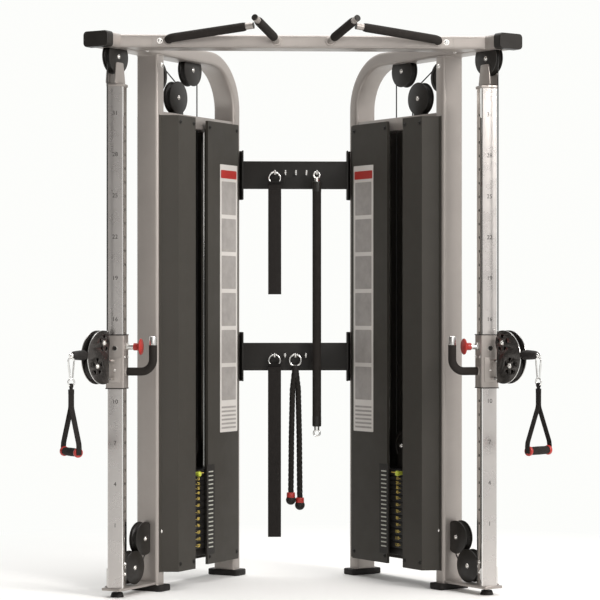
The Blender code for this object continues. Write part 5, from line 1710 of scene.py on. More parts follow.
@dataclass
class HeadPlate:
    """The top plate of the stack with its floating pulley, and the selector pin."""

    side: Side
    low: float = 0.4383
    high: float = 0.4643
    selector_s: float = 0.235

    def build(self, repeats: Repeats) -> None:
        """Makes the head plate and the pin.

        Args:
            repeats: the repeating groups.
        """
        prefix = self.side.prefix
        piece = Piece(prefix + "head_looks", prefix + "lift", [prefix + "head_plate"], "cast_iron")
        s, z = FLOAT
        slab = Forge.plate(rounded(0.120, 0.276, 0.006, 4), self.low, self.high, 0.0016).at(0, s, 0)
        for sign in (-1, 1):
            slab = Forge.cut(
                slab,
                Forge.rod(
                    (0, s + sign * 0.110, self.low - 0.01),
                    (0, s + sign * 0.110, self.high + 0.01),
                    0.0143,
                ),
            )
        middle = (self.low + self.high) / 2
        slab = Forge.cut(
            slab,
            Forge.rod((0.026, self.selector_s, middle), (0.070, self.selector_s, middle), 0.0046, 16),
        )
        piece.add(Paint.IRON, slab)
        cheek = softened(
            [
                (s - 0.030, self.high - 0.001),
                (s + 0.030, self.high - 0.001),
                (s + 0.016, z + 0.016),
                (s - 0.016, z + 0.016),
            ],
            0.008,
        )
        plate = Forge.plate(cheek, 0.013, 0.017, 0.0008)
        piece.add(Paint.STEELBLACK, plate.moved(ALONG), plate.at(0, 0, -0.030).moved(ALONG))
        piece.add(Paint.BLACK, wheel(LINE, 0.0615, 0.020, 0.006).at(0, *FLOAT))
        piece.add(Paint.STEEL, Forge.rod((-0.015, s, z), (0.015, s, z), 0.006))
        places = [on_face((sign * 0.017, s, z), (sign, 0, 0)) for sign in (1, -1)]
        piece.add(Paint.ZINC, repeats.spread(bolt(0.0075, 0.0045, 0.0098), Paint.ZINC, places))
        stripe = Forge.block(
            (0.0599, s - 0.045, middle - 0.0016), (0.0603, s + 0.012, middle + 0.0016), 0.0,
        )
        piece.add(Paint.YELLOW, stripe)
        piece.build(self.side.frame)

        pin = Piece(
            prefix + "selector_looks", prefix + "selector", [prefix + "selector_pin"], "lime_plastic",
        )
        knob = [
            (0.0, 0.030),
            (0.0060, 0.0298),
            (0.0088, 0.0288),
            (0.0106, 0.0262),
            (0.011, 0.0222),
            (0.0100, 0.016),
        ]
        knob += [(0.0084, 0.010), (0.0082, 0.0003), (0.0, 0.0003)]
        seat = axis_frame((0.060, self.selector_s, middle), (1, 0, 0))
        pin.add(Paint.LIME, Forge.turned(knob).moved(seat))
        pin.add(Paint.STEEL, Forge.rod((0, 0, -0.016), (0, 0, 0.002), 0.004).moved(seat))
        pin.build(self.side.frame)


@dataclass
class Carriage:
    """The sleeve on the post with its bar handle, hinge lugs and pop-pin."""

    side: Side
    size: float = 0.074
    below: float = 0.161
    above: float = 0.0455
    inside: float = 0.0647
    drop: float = 0.0965
    reach: float = 0.107
    curve: float = 0.048
    rise: float = 0.137
    tip: float = 0.034

    def sleeve(self) -> Form:
        """The square sleeve with its bore, view port and pin way.

        Returns:
            The form.
        """
        half, bore = self.size / 2, self.inside / 2
        body = Forge.swept(
            [(0, 0, -self.below), (0, 0, self.above)], rounded(self.size, self.size, 0.007, 5),
        )
        hollow = Forge.swept(
            [(0, 0, -self.below - 0.01), (0, 0, self.above + 0.01)], rounded(2 * bore, 2 * bore, 0.004, 3),
        )
        body = Forge.cut(body, hollow)
        port = Forge.rod((0, -half - 0.01, -0.006), (0, -bore + 0.003, -0.006), 0.0085)
        way = Forge.rod((bore - 0.003, 0, 0), (half + 0.01, 0, 0), 0.0056)
        return Forge.cut(Forge.cut(body, port), way)

    def dress_front(self, piece: Piece, repeats: Repeats) -> None:
        """Adds the raised front plate, the hinge lugs, the pin and the screws.

        Args:
            piece: the carriage's piece.
            repeats: the repeating groups.
        """
        half = self.size / 2
        tilt = math.tan(math.radians(19.5))
        lugs = []
        for low in (-0.0595, -0.1295):
            nose = [(-0.013, CABLE_S - 0.012), (0.013, CABLE_S - 0.012)]
            root = [
                (n, -0.237 + n * tilt - (half - 0.002) / math.cos(math.radians(19.5)))
                for n in (0.013, -0.013)
            ]
            outline = softened([*nose, *root], 0.007)
            lugs.append(Forge.plate(outline, CARRIAGE_Z + low, CARRIAGE_Z + low + 0.010, 0.0010))
        piece.add(Paint.STEEL, *lugs)
        pin = Forge.rod((0, CABLE_S, CARRIAGE_Z - 0.1315), (0, CABLE_S, CARRIAGE_Z - 0.0480), 0.004)
        cap = Forge.turned(
            [(0.0, 0.003), (0.005, 0.0026), (0.0068, 0.001), (0.0068, 0.0), (0.0, 0.0)], 20,
        )
        piece.add(Paint.ZINC, pin, cap.at(0, CABLE_S, CARRIAGE_Z - 0.0495))
        back = Forge.block((-0.024, -half - 0.003, -0.139), (0.024, -half + 0.001, -0.043), 0.0015)
        piece.add(Paint.SILVER, back.moved(CARRIAGE_FRAME))
        plug = Forge.rod((0, -half + 0.0030, -0.006), (0, -half + 0.0036, -0.006), 0.0086)
        piece.add(Paint.INK, plug.moved(CARRIAGE_FRAME))
        spots = [on_face((0.0, -half - 0.003, z), (0, -1, 0)) for z in (-0.091,)]
        spots += [on_face((half, y, -0.040), (1, 0, 0)) for y in (-0.022, 0.022)]
        screws = repeats.spread(bolt(0.0042, 0.0028, 0.0056), Paint.ZINC, spots)
        piece.add(Paint.ZINC, screws.moved(CARRIAGE_FRAME))
        rim = Forge.turned([(0.0085, 0.0012), (0.0105, 0.0012), (0.0110, 0.0), (0.0085, 0.0)], 28)
        piece.add(Paint.ZINC, rim.moved(CARRIAGE_FRAME @ on_face((0, -half, -0.006), (0, -1, 0))))

    def dress_handle(self, piece: Piece) -> None:
        """Adds the foam-covered bar and its bright tip.

        Args:
            piece: the carriage's piece.
        """
        half = self.size / 2
        base = Vector((half - 0.001, 0, -self.drop))
        corner = Vector((half + self.reach, 0, -self.drop))
        end = corner + Vector((0, 0, self.rise - self.tip))
        line = bend([base, corner, end], self.curve, 18)
        foam = Forge.swept(spaced(line, 0.01), circle((0, 0), 0.016, 28), (0, 1, 0))
        piece.add(Paint.FOAM, foam.moved(CARRIAGE_FRAME))
        tip = [
            (0.0, self.tip), (0.0118, self.tip), (0.0138, self.tip - 0.0016), (0.0145, self.tip - 0.004),
        ]
        tip += [(0.0145, 0.0), (0.0, 0.0)]
        piece.add(Paint.STEEL, Forge.turned(tip).moved(CARRIAGE_FRAME @ Matrix.Translation(end)))
        collar = Forge.turned(
            [(0.014, 0.004), (0.0185, 0.004), (0.0195, 0.002), (0.0195, 0.0), (0.014, 0.0)]
        )
        piece.add(Paint.SILVER, collar.moved(CARRIAGE_FRAME @ on_face((half, 0, -self.drop), (1, 0, 0))))

    def build(self, repeats: Repeats) -> None:
        """Makes the carriage and its pop-pin.

        Args:
            repeats: the repeating groups.
        """
        prefix = self.side.prefix
        piece = Piece(
            prefix + "carriage_looks", prefix + "carriage", [prefix + "carriage"], "silver_paint",
        )
        piece.add(Paint.SILVER, self.sleeve().moved(CARRIAGE_FRAME))
        proud = self.size / 2 + 0.0015
        for low in (-self.below - 0.003, self.above - 0.001):
            hole = [rounded(self.inside, self.inside, 0.004, 3)]
            bush = Forge.plate(rounded(2 * proud, 2 * proud, 0.006, 4), low, low + 0.004, 0.0008, hole)
            piece.add(Paint.BLACK, bush.moved(CARRIAGE_FRAME))
        half = self.size / 2
        barrel = [(0.0058, 0.032), (0.0105, 0.032), (0.0115, 0.031), (0.0115, 0.0), (0.0058, 0.0)]
        seat = CARRIAGE_FRAME @ on_face((half - 0.001, 0, 0), (1, 0, 0))
        piece.add(Paint.STEEL, Forge.turned(barrel).moved(seat))
        nut = Forge.plate(circle((0, 0), 0.0165, 6), 0.001, 0.008, 0.0010, [circle((0, 0), 0.0112, 24)])
        piece.add(Paint.ZINC, nut.moved(seat))
        self.dress_front(piece, repeats)
        self.dress_handle(piece)
        anchor = Forge.plate(
            softened([(-0.010, -0.205), (0.010, -0.198), (0.010, -0.183), (-0.010, -0.183)], 0.003),
            CARRIAGE_Z - self.below,
            CARRIAGE_Z - self.below + 0.020,
            0.001,
        )
        piece.add(
            Paint.SILVER, Forge.cut(anchor, Forge.rod((0, -0.191, 0.80), (0, -0.191, 0.85), 0.0036)),
        )
        piece.build(self.side.frame)
        self.pop_pin()

    def pop_pin(self) -> None:
        """Makes the sprung pin with its mushroom knob."""
        prefix = self.side.prefix
        start = self.size / 2 + 0.030
        top = start + 0.037
        pin = Piece(prefix + "pop_pin_looks", prefix + "pop_pin", [prefix + "pop_pin"], "red_plastic")
        knob = [
            (0.0, top),
            (0.012, top - 0.0004),
            (0.021, top - 0.0018),
            (0.0285, top - 0.0045),
            (0.0314, top - 0.0070),
        ]
        knob += [
            (0.0320, top - 0.0092), (0.0312, top - 0.0112), (0.0285, top - 0.0125), (0.0225, top - 0.0142),
        ]
        knob += [
            (0.0175, top - 0.0168),
            (0.0150, top - 0.0205),
            (0.0145, top - 0.0250),
            (0.0145, start + 0.001),
        ]
        knob += [
            (0.0138, start),
            (0.0122, start),
            (0.0122, start + 0.0125),
            (0.0050, start + 0.0125),
            (0.0050, start + 0.013),
            (0.0, start + 0.013),
        ]
        seat = CARRIAGE_FRAME @ axis_frame((0, 0, 0), (1, 0, 0))
        pin.add(Paint.RED, Forge.turned(knob, 44).moved(seat))
        pin.add(Paint.STEEL, Forge.rod((0, 0, 0.0326), (0, 0, start + 0.014), 0.005).moved(seat))
        pin.build(self.side.frame)


@dataclass
class Housing:
    """The swivelling housing, its two pulleys and the hinge barrel."""

    side: Side
    radius: float = 0.104
    centre: Plan = (-0.050, -0.0395)
    rear: float = -0.013
    gap: float = 0.026
    wall: float = 0.004
    upper: Plan = (-0.0445, 0.0155)
    lower: Plan = (-0.0895, -0.0735)

    def outline(self) -> list[Plan]:
        """The plates' outline: a disc cut off at the rear, its corners rounded.

        Returns:
            The outline.
        """
        edge = math.degrees(math.acos((self.rear - self.centre[0]) / self.radius))
        rim = arc(self.centre, self.radius, edge + 5, 355 - edge, 60)
        first, last = rim[0], rim[-1]
        low = arc((self.rear - 0.010, last[1] + 0.006), 0.010, 300, 360, 4)
        high = arc((self.rear - 0.010, first[1] - 0.006), 0.010, 0, 60, 4)
        return rim + low + high

    def windows(self) -> list[list[Plan]]:
        """The three-cornered windows about both axles.

        Returns:
            Their outlines.
        """
        made = []
        for at in (self.upper, self.lower):
            for index in range(5):
                middle = 2 * math.pi * (index + 0.25) / 5
                corners = [(0.015, middle), (0.034, middle - 0.384), (0.034, middle + 0.384)]
                window = [(at[0] + r * math.cos(a), at[1] + r * math.sin(a)) for r, a in corners]
                made.append(softened(window, 0.0040))
        return made

    def build(self, repeats: Repeats) -> None:
        """Makes the housing and its wheels.

        Args:
            repeats: the repeating groups.
        """
        prefix = self.side.prefix
        piece = Piece(
            prefix + "housing_looks", prefix + "housing", [prefix + "pulley_housing"], "black_steel",
        )
        inner, outer = self.gap / 2, self.gap / 2 + self.wall
        plate = Forge.plate(self.outline(), inner, outer, 0.0009, self.windows()).moved(ALONG)
        for sign in (1, -1):
            form = plate if sign > 0 else plate.moved(Matrix.Diagonal((-1, 1, 1, 1)))
            faces, rim = form.split(lambda normal, centre: abs(normal[0]) > 0.60)
            ring, holes = rim.split(self.on_rim)
            piece.add(Paint.GLOSS, faces.moved(SWIVEL_FRAME), holes.moved(SWIVEL_FRAME))
            piece.add(Paint.STEEL, ring.moved(SWIVEL_FRAME))
        for at in (self.upper, self.lower):
            axle = Forge.rod((-inner - 0.002, *at), (inner + 0.002, *at), 0.005)
            piece.add(Paint.STEEL, axle.moved(SWIVEL_FRAME))
        places = [
            on_face((sign * outer, *at), (sign, 0, 0))
            for sign in (1, -1)
            for at in (self.upper, self.lower)
        ]
        heads = repeats.spread(bolt(0.0085, 0.0055, 0.0108), Paint.ZINC, places)
        piece.add(Paint.ZINC, heads.moved(SWIVEL_FRAME))
        top, bottom = -0.0601, -0.1189
        barrel = [
            (0.0052, top),
            (0.0082, top),
            (0.009, top - 0.0008),
            (0.009, bottom + 0.0008),
            (0.0082, bottom),
            (0.0052, bottom),
        ]
        piece.add(Paint.STEEL, Forge.turned(barrel).moved(SWIVEL_FRAME))
        web = Forge.block(
            (-inner - 0.0005, -0.030, bottom + 0.001), (inner + 0.0005, -0.0075, top - 0.001), 0.001,
        )
        piece.add(Paint.SILVER, web.moved(SWIVEL_FRAME))
        piece.build(self.side.frame)
        for name, at in (("upper", self.upper), ("lower", self.lower)):
            wheel_piece = Piece(
                f"{prefix}swing_{name}_looks",
                f"{prefix}swing_{name}",
                [f"{prefix}swing_pulley_{name}"],
                "black_plastic",
            )
            wheel_piece.add(
                Paint.BLACK, wheel(0.0445, 0.049, 0.020, 0.0056).at(0, *at).moved(SWIVEL_FRAME),
            )
            wheel_piece.build(self.side.frame)

    def on_rim(self, normal: np.ndarray, centre: np.ndarray) -> bool:
        """Whether a face of the plates' edge lies on the outer rim."""
        reach = math.hypot(centre[1] - self.centre[0], centre[2] - self.centre[1])
        return reach > self.radius - 0.003 or centre[1] > self.rear - 0.012


@dataclass
class Pulleys:
    """The five turning wheels of a tower."""

    side: Side

    def build(self) -> None:
        """Makes the wheels."""
        prefix = self.side.prefix
        wheels = {
            "top_front": ("top_front_pulley", TOP_FRONT),
            "top_rear": ("top_rear_pulley", TOP_REAR),
            "shroud_wheel": ("shroud_pulley", SHROUD_WHEEL),
            "lower_rear": ("lower_rear_pulley", LOWER_REAR),
            "lower_front": ("lower_front_pulley", LOWER_FRONT),
        }
        for body, (node, centre) in wheels.items():
            piece = Piece(f"{prefix}{node}_looks", prefix + body, [prefix + node], "black_plastic")
            piece.add(Paint.BLACK, wheel(LINE, 0.0615, 0.020, 0.0066).at(0, *centre))
            piece.build(self.side.frame)


@dataclass
class Handle:
    """The cable stop with its clip, the webbing strap and the grip."""

    side: Side
    stop: float = 0.019
    stop_length: float = 0.080
    cable_z: float = -0.029
    eye_s: float = -0.2403
    hang_z: float = -0.1436
    strap: float = 0.024
    thickness: float = 0.0040
    trunk: float = 0.085
    drop: float = 0.2495
    grip: float = 0.128

    @property
    def hang(self) -> Matrix:
        """The strap's frame: X across the webbing, Y along the grip."""
        yaw = math.radians(-118.5 if self.side is Side.LEFT else -100.0)
        place = Matrix.Translation((0, self.eye_s, self.hang_z))
        return SWIVEL_FRAME @ place @ Matrix.Rotation(yaw, 4, "Z")

    def clip(self) -> None:
        """Makes the rubber stop, the ball eye, the clip and the ring."""
        prefix = self.side.prefix
        piece = Piece(
            prefix + "clip_looks", prefix + "cable_end", [prefix + "handle_clip"], "black_plastic",
        )
        length, radius = self.stop_length, self.stop
        profile = [
            (0.0, length),
            (radius * 0.55, length),
            (radius * 0.66, length - 0.002),
            (radius * 0.84, length * 0.86),
        ]
        profile += [
            (radius * 0.93, length * 0.62),
            (radius, length * 0.30),
            (radius, 0.004),
            (radius - 0.0012, 0.0012),
        ]
        profile += [(radius - 0.004, 0.0), (0.0, 0.0)]
        front = -0.1543
        seat = SWIVEL_FRAME @ axis_frame((0, front, self.cable_z), (0, -1, 0))
        piece.add(Paint.RUBBER, Forge.turned(profile, 40).moved(seat))
        end = front - length
        ball = [
            (0.0092 * math.cos(t), 0.0092 * math.sin(t))
            for t in np.radians(np.linspace(90, -90, 13))
        ]
        piece.add(
            Paint.CHROME,
            Forge.turned([(abs(r), z) for r, z in ball], 28).moved(
                SWIVEL_FRAME @ Matrix.Translation((0, end - 0.003, self.cable_z))
            ),
        )
        eye = [(0, self.eye_s + y, self.cable_z + z) for y, z in circle((0, 0), 0.010, 28)]
        piece.add(Paint.CHROME, Forge.hoop(eye, 0.0034, (1, 0, 0)).moved(SWIVEL_FRAME))
        drop = self.hang_z - self.cable_z
        top = -drop - 0.010 + 0.0017
        clip = self.pear(0.082, top)
        piece.add(Paint.CHROME, clip.moved(self.hang))
        ring = [(x, 0, 0.013 + z) for x, z in circle((0, 0), 0.013, 32)]
        piece.add(Paint.CHROME, Forge.hoop(ring, 0.0034, (0, 1, 0)).moved(self.hang))
        piece.build(self.side.frame)

    @staticmethod
    def pear(length: float, top: float) -> Form:
        """A snap clip: a pear-shaped loop of wire with a gate sleeve, in the strap's frame.

        Args:
            length: its length over the wire's centre.
            top: height of its top.

        Returns:
            The form.
        """
        wire = 0.0034
        wide, narrow = 0.0122, 0.0060
        upper = (0.0, top - wide)
        lower = (0.0, top - length + narrow + 0.001)
        lean = math.degrees(math.asin((wide - narrow) / (upper[1] - lower[1])))
        line = arc(lower, narrow, 180 - lean, 360 + lean, 14) + arc(upper, wide, lean, 180 - lean, 18)
        path = spaced([(x, 0, z) for x, z in line + [line[0]]], 0.008)[:-1]
        loop = Forge.hoop(path, wire, (0, 1, 0))
        side = ((line[14][0] + line[15][0]) / 2, (line[14][1] + line[15][1]) / 2)
        gate = Forge.rod(
            (side[0] - 0.002, 0, side[1] - 0.014),
            (side[0] + 0.002, 0, side[1] + 0.016),
            wire + 0.0010,
            16,
            0.0006,
        )
        return Form.joined([loop, gate])

    def ribbon(self, line: Sequence[Plan], width: float, step: float = 0.006) -> Form:
        """A strip of webbing along a line in the strap's Y and Z."""
        section = rounded(width, self.thickness * 0.92, self.thickness * 0.42, 3)
        return Forge.swept(spaced([(0, y, z) for y, z in line], step), section, (1, 0, 0))

    def legs(self) -> list[list[Plan]]:
        """Centre lines of both legs, from the trunk to the grip's ends.

        Returns:
            The lines.
        """
        out = self.grip / 2 + 0.0006 + self.thickness / 2
        made = []
        for sign in (-1, 1):
            corners = [
                (sign * self.thickness * 0.5, -0.016),
                (sign * self.thickness * 0.5, -self.trunk + 0.004),
                (sign * out * 0.965, -self.drop + 0.034),
                (sign * out, -self.drop - 0.009),
            ]
            run = bend([(0, y, z) for y, z in corners[:3]], 0.045, 10)
            line = [(point.y, point.z) for point in run[:-1]]
            line += [corners[2], (sign * out, -self.drop + 0.018), corners[3]]
            made.append(line)
        return made

    def webbing(self, repeats: Repeats) -> None:
        """Makes the strap with its seams.

        Args:
            repeats: the repeating groups.
        """
        prefix = self.side.prefix
        piece = Piece(prefix + "strap_looks", prefix + "strap", [prefix + "handle_strap"], "webbing")
        for line in self.legs():
            piece.add(Paint.WEBBING, self.ribbon(line, self.strap * 0.92).moved(self.hang))
        radius = 0.0057 + self.thickness / 2
        loop = [(y, z) for y, z in arc((0, 0), radius, -62, 242, 26)]
        sides = [(0.0020, -0.0165), *loop, (-0.0020, -0.0165)]
        neck = self.ribbon(sides, 0.0112, 0.003)
        piece.add(Paint.WEBBING, neck.moved(self.hang))
        wrap = Forge.swept(
            [(0, 0, -0.013), (0, 0, -0.017), (0, 0, -0.030)], rounded(self.strap, 0.0094, 0.0040, 4),
        )
        piece.add(Paint.WEBBING, wrap.moved(self.hang))
        stitch = Forge.block((-0.0017, -0.0006, -0.0003), (0.0017, 0.0006, 0.0003), 0.0002, 1)
        spots = []
        for z in (-0.034, -0.038, -0.076, -0.080):
            for index in range(5):
                for sign in (-1, 1):
                    x = (index - 2) * 0.0042
                    spots.append(Matrix.Translation((x, sign * self.thickness, z)))
        seam = repeats.spread(stitch, Paint.THREAD, spots)
        piece.add(Paint.THREAD, seam.moved(self.hang))
        core = Forge.rod(
            (0, -self.grip / 2 - 0.004, -self.drop), (0, self.grip / 2 + 0.004, -self.drop), 0.0068,
        )
        piece.add(Paint.BLACK, core.moved(self.hang))
        piece.build(self.side.frame)

    def grip_piece(self) -> None:
        """Makes the foam grip with its red end rings."""
        prefix = self.side.prefix
        piece = Piece(prefix + "grip_looks", prefix + "grip", [prefix + "handle_grip"], "foam")
        end = self.grip / 2
        collar = end - 0.013
        foam = [
            (0.0076, collar),
            (0.0146, collar),
            (0.0154, collar - 0.004),
            (0.0162, 0.0),
            (0.0154, 0.004 - collar),
        ]
        foam += [(0.0146, -collar), (0.0076, -collar)]
        seat = self.hang @ Matrix.Translation((0, 0, -self.drop)) @ Matrix.Rotation(-math.pi / 2, 4, "X")
        piece.add(Paint.FOAM, Forge.turned(foam, 36).moved(seat))
        ring = [
            (0.0076, 0.013),
            (0.0148, 0.013),
            (0.0172, 0.0124),
            (0.0186, 0.0106),
            (0.0190, 0.0078),
            (0.0186, 0.0040),
        ]
        ring += [(0.0176, 0.0012), (0.0164, 0.0), (0.0076, 0.0)]
        cup = Forge.turned(ring, 40)
        piece.add(Paint.RED, cup.at(0, 0, collar).moved(seat))
        piece.add(Paint.RED, cup.moved(Matrix.Diagonal((1, 1, -1, 1))).at(0, 0, -collar).moved(seat))
        piece.build(self.side.frame)

    def build(self, repeats: Repeats) -> None:
        """Makes the whole handle.

        Args:
            repeats: the repeating groups.
        """
        self.clip()
        self.webbing(repeats)
        self.grip_piece()


@dataclass
class Cables:
    """The cable runs of a tower, each a tube swept along its path."""

    side: Side
    radius: float = CABLE

    def strand(self, points: Sequence[Plan], step: float = 0.03) -> Form:
        """A cable along points in s and z."""
        path = spaced([(0, s, z) for s, z in points], step)
        return Forge.swept(path, circle((0, 0), self.radius, 12), (1, 0, 0))

    def build(self) -> None:
        """Makes the four runs."""
        prefix = self.side.prefix
        frame = self.side.frame
        s, z = FLOAT
        rise = 60.8
        loop = arc(
            TOP_FRONT, LINE, 180, 90, 14,
        ) + arc(TOP_REAR, LINE, 90, 0, 14) + arc(FLOAT, LINE, 0, -180, 28)
        loop += arc(SHROUD_WHEEL, LINE, 0, rise, 12) + arc(IDLER, LINE, rise, 180, 18)
        piece = Piece(prefix + "stack_cable", "frame", [prefix + "main_cable"], "cable_coat")
        piece.add(Paint.CABLE, self.strand(loop))
        piece.stretched(frame, prefix + "lift", (0, s, 1.90), (0, s, z + 0.02))

        fall = -34.1
        low = [
            (IDLER[0] - LINE, IDLER[1]),
            *arc(LOWER_REAR, LINE, 0, fall, 8),
            *arc(LOWER_FRONT, LINE, fall, -180, 24),
        ]
        low.append((-0.191, 0.8335))
        piece = Piece(prefix + "anchor_cable", "frame", [], "cable_coat")
        piece.add(Paint.CABLE, self.strand(low[1:]))
        piece.stretched(frame, prefix + "carriage", (0, -0.191, 0.15), (0, -0.191, 0.82))
        hidden = Piece(prefix + "upright_cable", "frame", [], "cable_coat")
        hidden.add(Paint.CABLE, self.strand(low[:2]))
        hidden.build(frame)

        post = Piece(prefix + "post_cable_looks", "frame", [prefix + "post_cable"], "cable_coat")
        post.add(Paint.CABLE, self.strand([(CABLE_S, 2.107), (CABLE_S, 0.992)]))
        post.stretched(frame, prefix + "carriage", (0, CABLE_S, 2.09), (0, CABLE_S, 1.04))
        turn = Piece(prefix + "turn_cable", prefix + "housing", [], "cable_coat")
        quarter = arc((CABLE_S - 0.0445, 0.992), 0.0445, 0, -90, 16)
        turn.add(Paint.CABLE, self.strand(quarter))
        turn.build(frame)
        pull = Piece(prefix + "pull_cable", prefix + "housing", [], "cable_coat")
        ends = [(CABLE_S - 0.0445, 0.9475), (CABLE_S - 0.1600, 0.9475)]
        pull.add(Paint.CABLE, self.strand(ends, 0.01))
        pull.stretched(frame, prefix + "cable_end", (0, *ends[0]), (0, CABLE_S - 0.150, 0.9475))


@dataclass
class Beam:
    """The chin-up beam between the towers with its four foam grips."""

    half: float = 0.5857
    front: float = -0.294
    rear: float = -0.174
    low: float = 2.139
    high: float = 2.189
    bar: float = 0.0127
    foam: float = 0.0172
    bare: float = 0.032

    @staticmethod
    def grips() -> dict[str, tuple[list[Vector], float]]:
        """Centre line of every grip, and where its foam starts.

        Returns:
            The runs by node name.
        """
        made = {}
        for sign, word in ((-1, "left"), (1, "right")):
            wide = [
                (sign * 0.524, -0.2925, 2.165),
                (sign * 0.524, -0.330, 2.169),
                (sign * 0.196, -0.399, 2.212),
            ]
            near = [
                (sign * 0.104, -0.2925, 2.165),
                (sign * 0.110, -0.324, 2.171),
                (sign * 0.196, -0.499, 2.230),
            ]
            made[f"wide_grip_{word}"] = (bend(wide, 0.030, 10), 0.020)
            made[f"neutral_grip_{word}"] = (bend(near, 0.040, 8), 0.045)
        return made

    def sleeve(self, run: Sequence[Vector]) -> list[Form]:
        """A foam sleeve with soft ends on a bar.

        Args:
            run: its centre line.

        Returns:
            The forms.
        """
        line = spaced(run, 0.010)
        body = Forge.swept(line, circle((0, 0), self.foam, 28), (0, 0, 1))
        count, total = 28, len(line)
        for index, share in ((0, 0.90), (total - 1, 0.90)):
            ring = body.points[index * count : (index + 1) * count]
            ring[:] = np.array(line[index]) + (ring - np.array(line[index])) * share
        return [body]

    def build(self, repeats: Repeats) -> None:
        """Makes the beam and its grips.

        Args:
            repeats: the repeating groups.
        """
        piece = Piece("beam_looks", "frame", ["cross_beam"], "silver_paint")
        middle = ((self.front + self.rear) / 2, (self.low + self.high) / 2)
        section = [
            (y + middle[0], z + middle[1])
            for y, z in rounded(self.rear - self.front, self.high - self.low, 0.010)
        ]
        piece.add(Paint.SILVER, Forge.swept([(-self.half, 0, 0), (self.half, 0, 0)], section, (0, 1, 0)))
        spots = [on_face((sign * 0.558, self.front, middle[1]), (0, -1, 0)) for sign in (-1, 1)]
        spots += [on_face((sign * 0.558, self.rear, middle[1]), (0, 1, 0)) for sign in (-1, 1)]
        piece.add(Paint.ZINC, repeats.spread(bolt(), Paint.ZINC, spots))
        for node, (run, start) in self.grips().items():
            piece.add(Paint.SILVER, Forge.swept(run, circle((0, 0), self.bar, 24), (0, 0, 1)))
            collar = Forge.turned(
                [(0.0, 0.004), (0.0165, 0.004), (0.0185, 0.002), (0.0190, 0.0), (0.0, 0.0)]
            )
            piece.add(
                Paint.SILVER, collar.moved(axis_frame(run[0] + Vector((0, -0.0015, 0)), (0, -1, 0))),
            )
            tip = [(0.0, 0.0012), (0.0112, 0.0012), (0.0127, 0.0), (0.0127, -0.003), (0.0, -0.003)]
            piece.add(Paint.BLACK, Forge.turned(tip).moved(axis_frame(run[-1], run[-1] - run[-2])))
            foam = Piece(node + "_looks", "frame", [node], "foam")
            foam.add(Paint.FOAM, *self.sleeve(between(run, start, self.bare)))
            foam.build()
        piece.build()


@dataclass
class Rack:
    """An accessory rack: its bar, angled brackets and pegs."""

    name: str
    level: float
    reach: float
    half: float = 0.220
    front: float = 0.436
    rear: float = 0.460
    height: float = 0.117
    bracket: float = 0.208
    wall: float = 0.006
    pegs: int = 5
    pitch: float = 0.044
    peg: float = 0.005
    lip: float = 0.014

    def build(self, repeats: Repeats) -> None:
        """Makes the rack.

        Args:
            repeats: the repeating groups.
        """
        piece = Piece(self.name + "_looks", "frame", [self.name], "black_steel")
        low, high = self.level - self.height / 2, self.level + self.height / 2
        piece.add(
            Paint.STEELBLACK,
            Forge.block((-self.half, self.front, low), (self.half, self.rear, high), 0.003),
        )
        section = rounded(self.bracket, self.wall, 0.0026, 3)
        spots = []
        for sign in (-1, 1):
            plan = [(sign * 0.221, self.front - 0.004), (sign * 0.221, 0.4713), (sign * 0.2846, 0.511)]
            run = bend([(x, y, self.level) for x, y in plan], 0.005, 5)
            piece.add(Paint.STEELBLACK, Forge.swept(run, section, (0, 0, 1)))
            out = Vector((-sign * math.sin(YAW), math.cos(YAW), 0))
            seat = Vector((sign * 0.256, 0.4932, 0)) + out * self.wall / 2
            spots += [on_face((seat.x, seat.y, self.level + z), out) for z in (-0.080, 0.080)]
        piece.add(Paint.ZINC, repeats.spread(bolt(), Paint.ZINC, spots))
        tip = self.front - self.reach
        line = bend([(0, self.front + 0.002, 0), (0, tip, 0), (0, tip, self.lip)], 0.008, 6)
        peg = Form.joined([Forge.swept(line, circle((0, 0), self.peg, 16)), self.dome(tip)])
        places = [
            Matrix.Translation(((index - 2) * self.pitch, 0, self.level))
            for index in range(self.pegs)
        ]
        piece.add(Paint.CHROME, repeats.spread(peg, Paint.CHROME, places))
        piece.build()

    def dome(self, tip: float) -> Form:
        """The rounded end of a peg."""
        profile = [(0.0, 0.0018), (self.peg * 0.6, 0.0013), (self.peg, -0.0002), (0.0, -0.0002)]
        return Forge.turned(profile, 16).at(0, tip, self.lip)


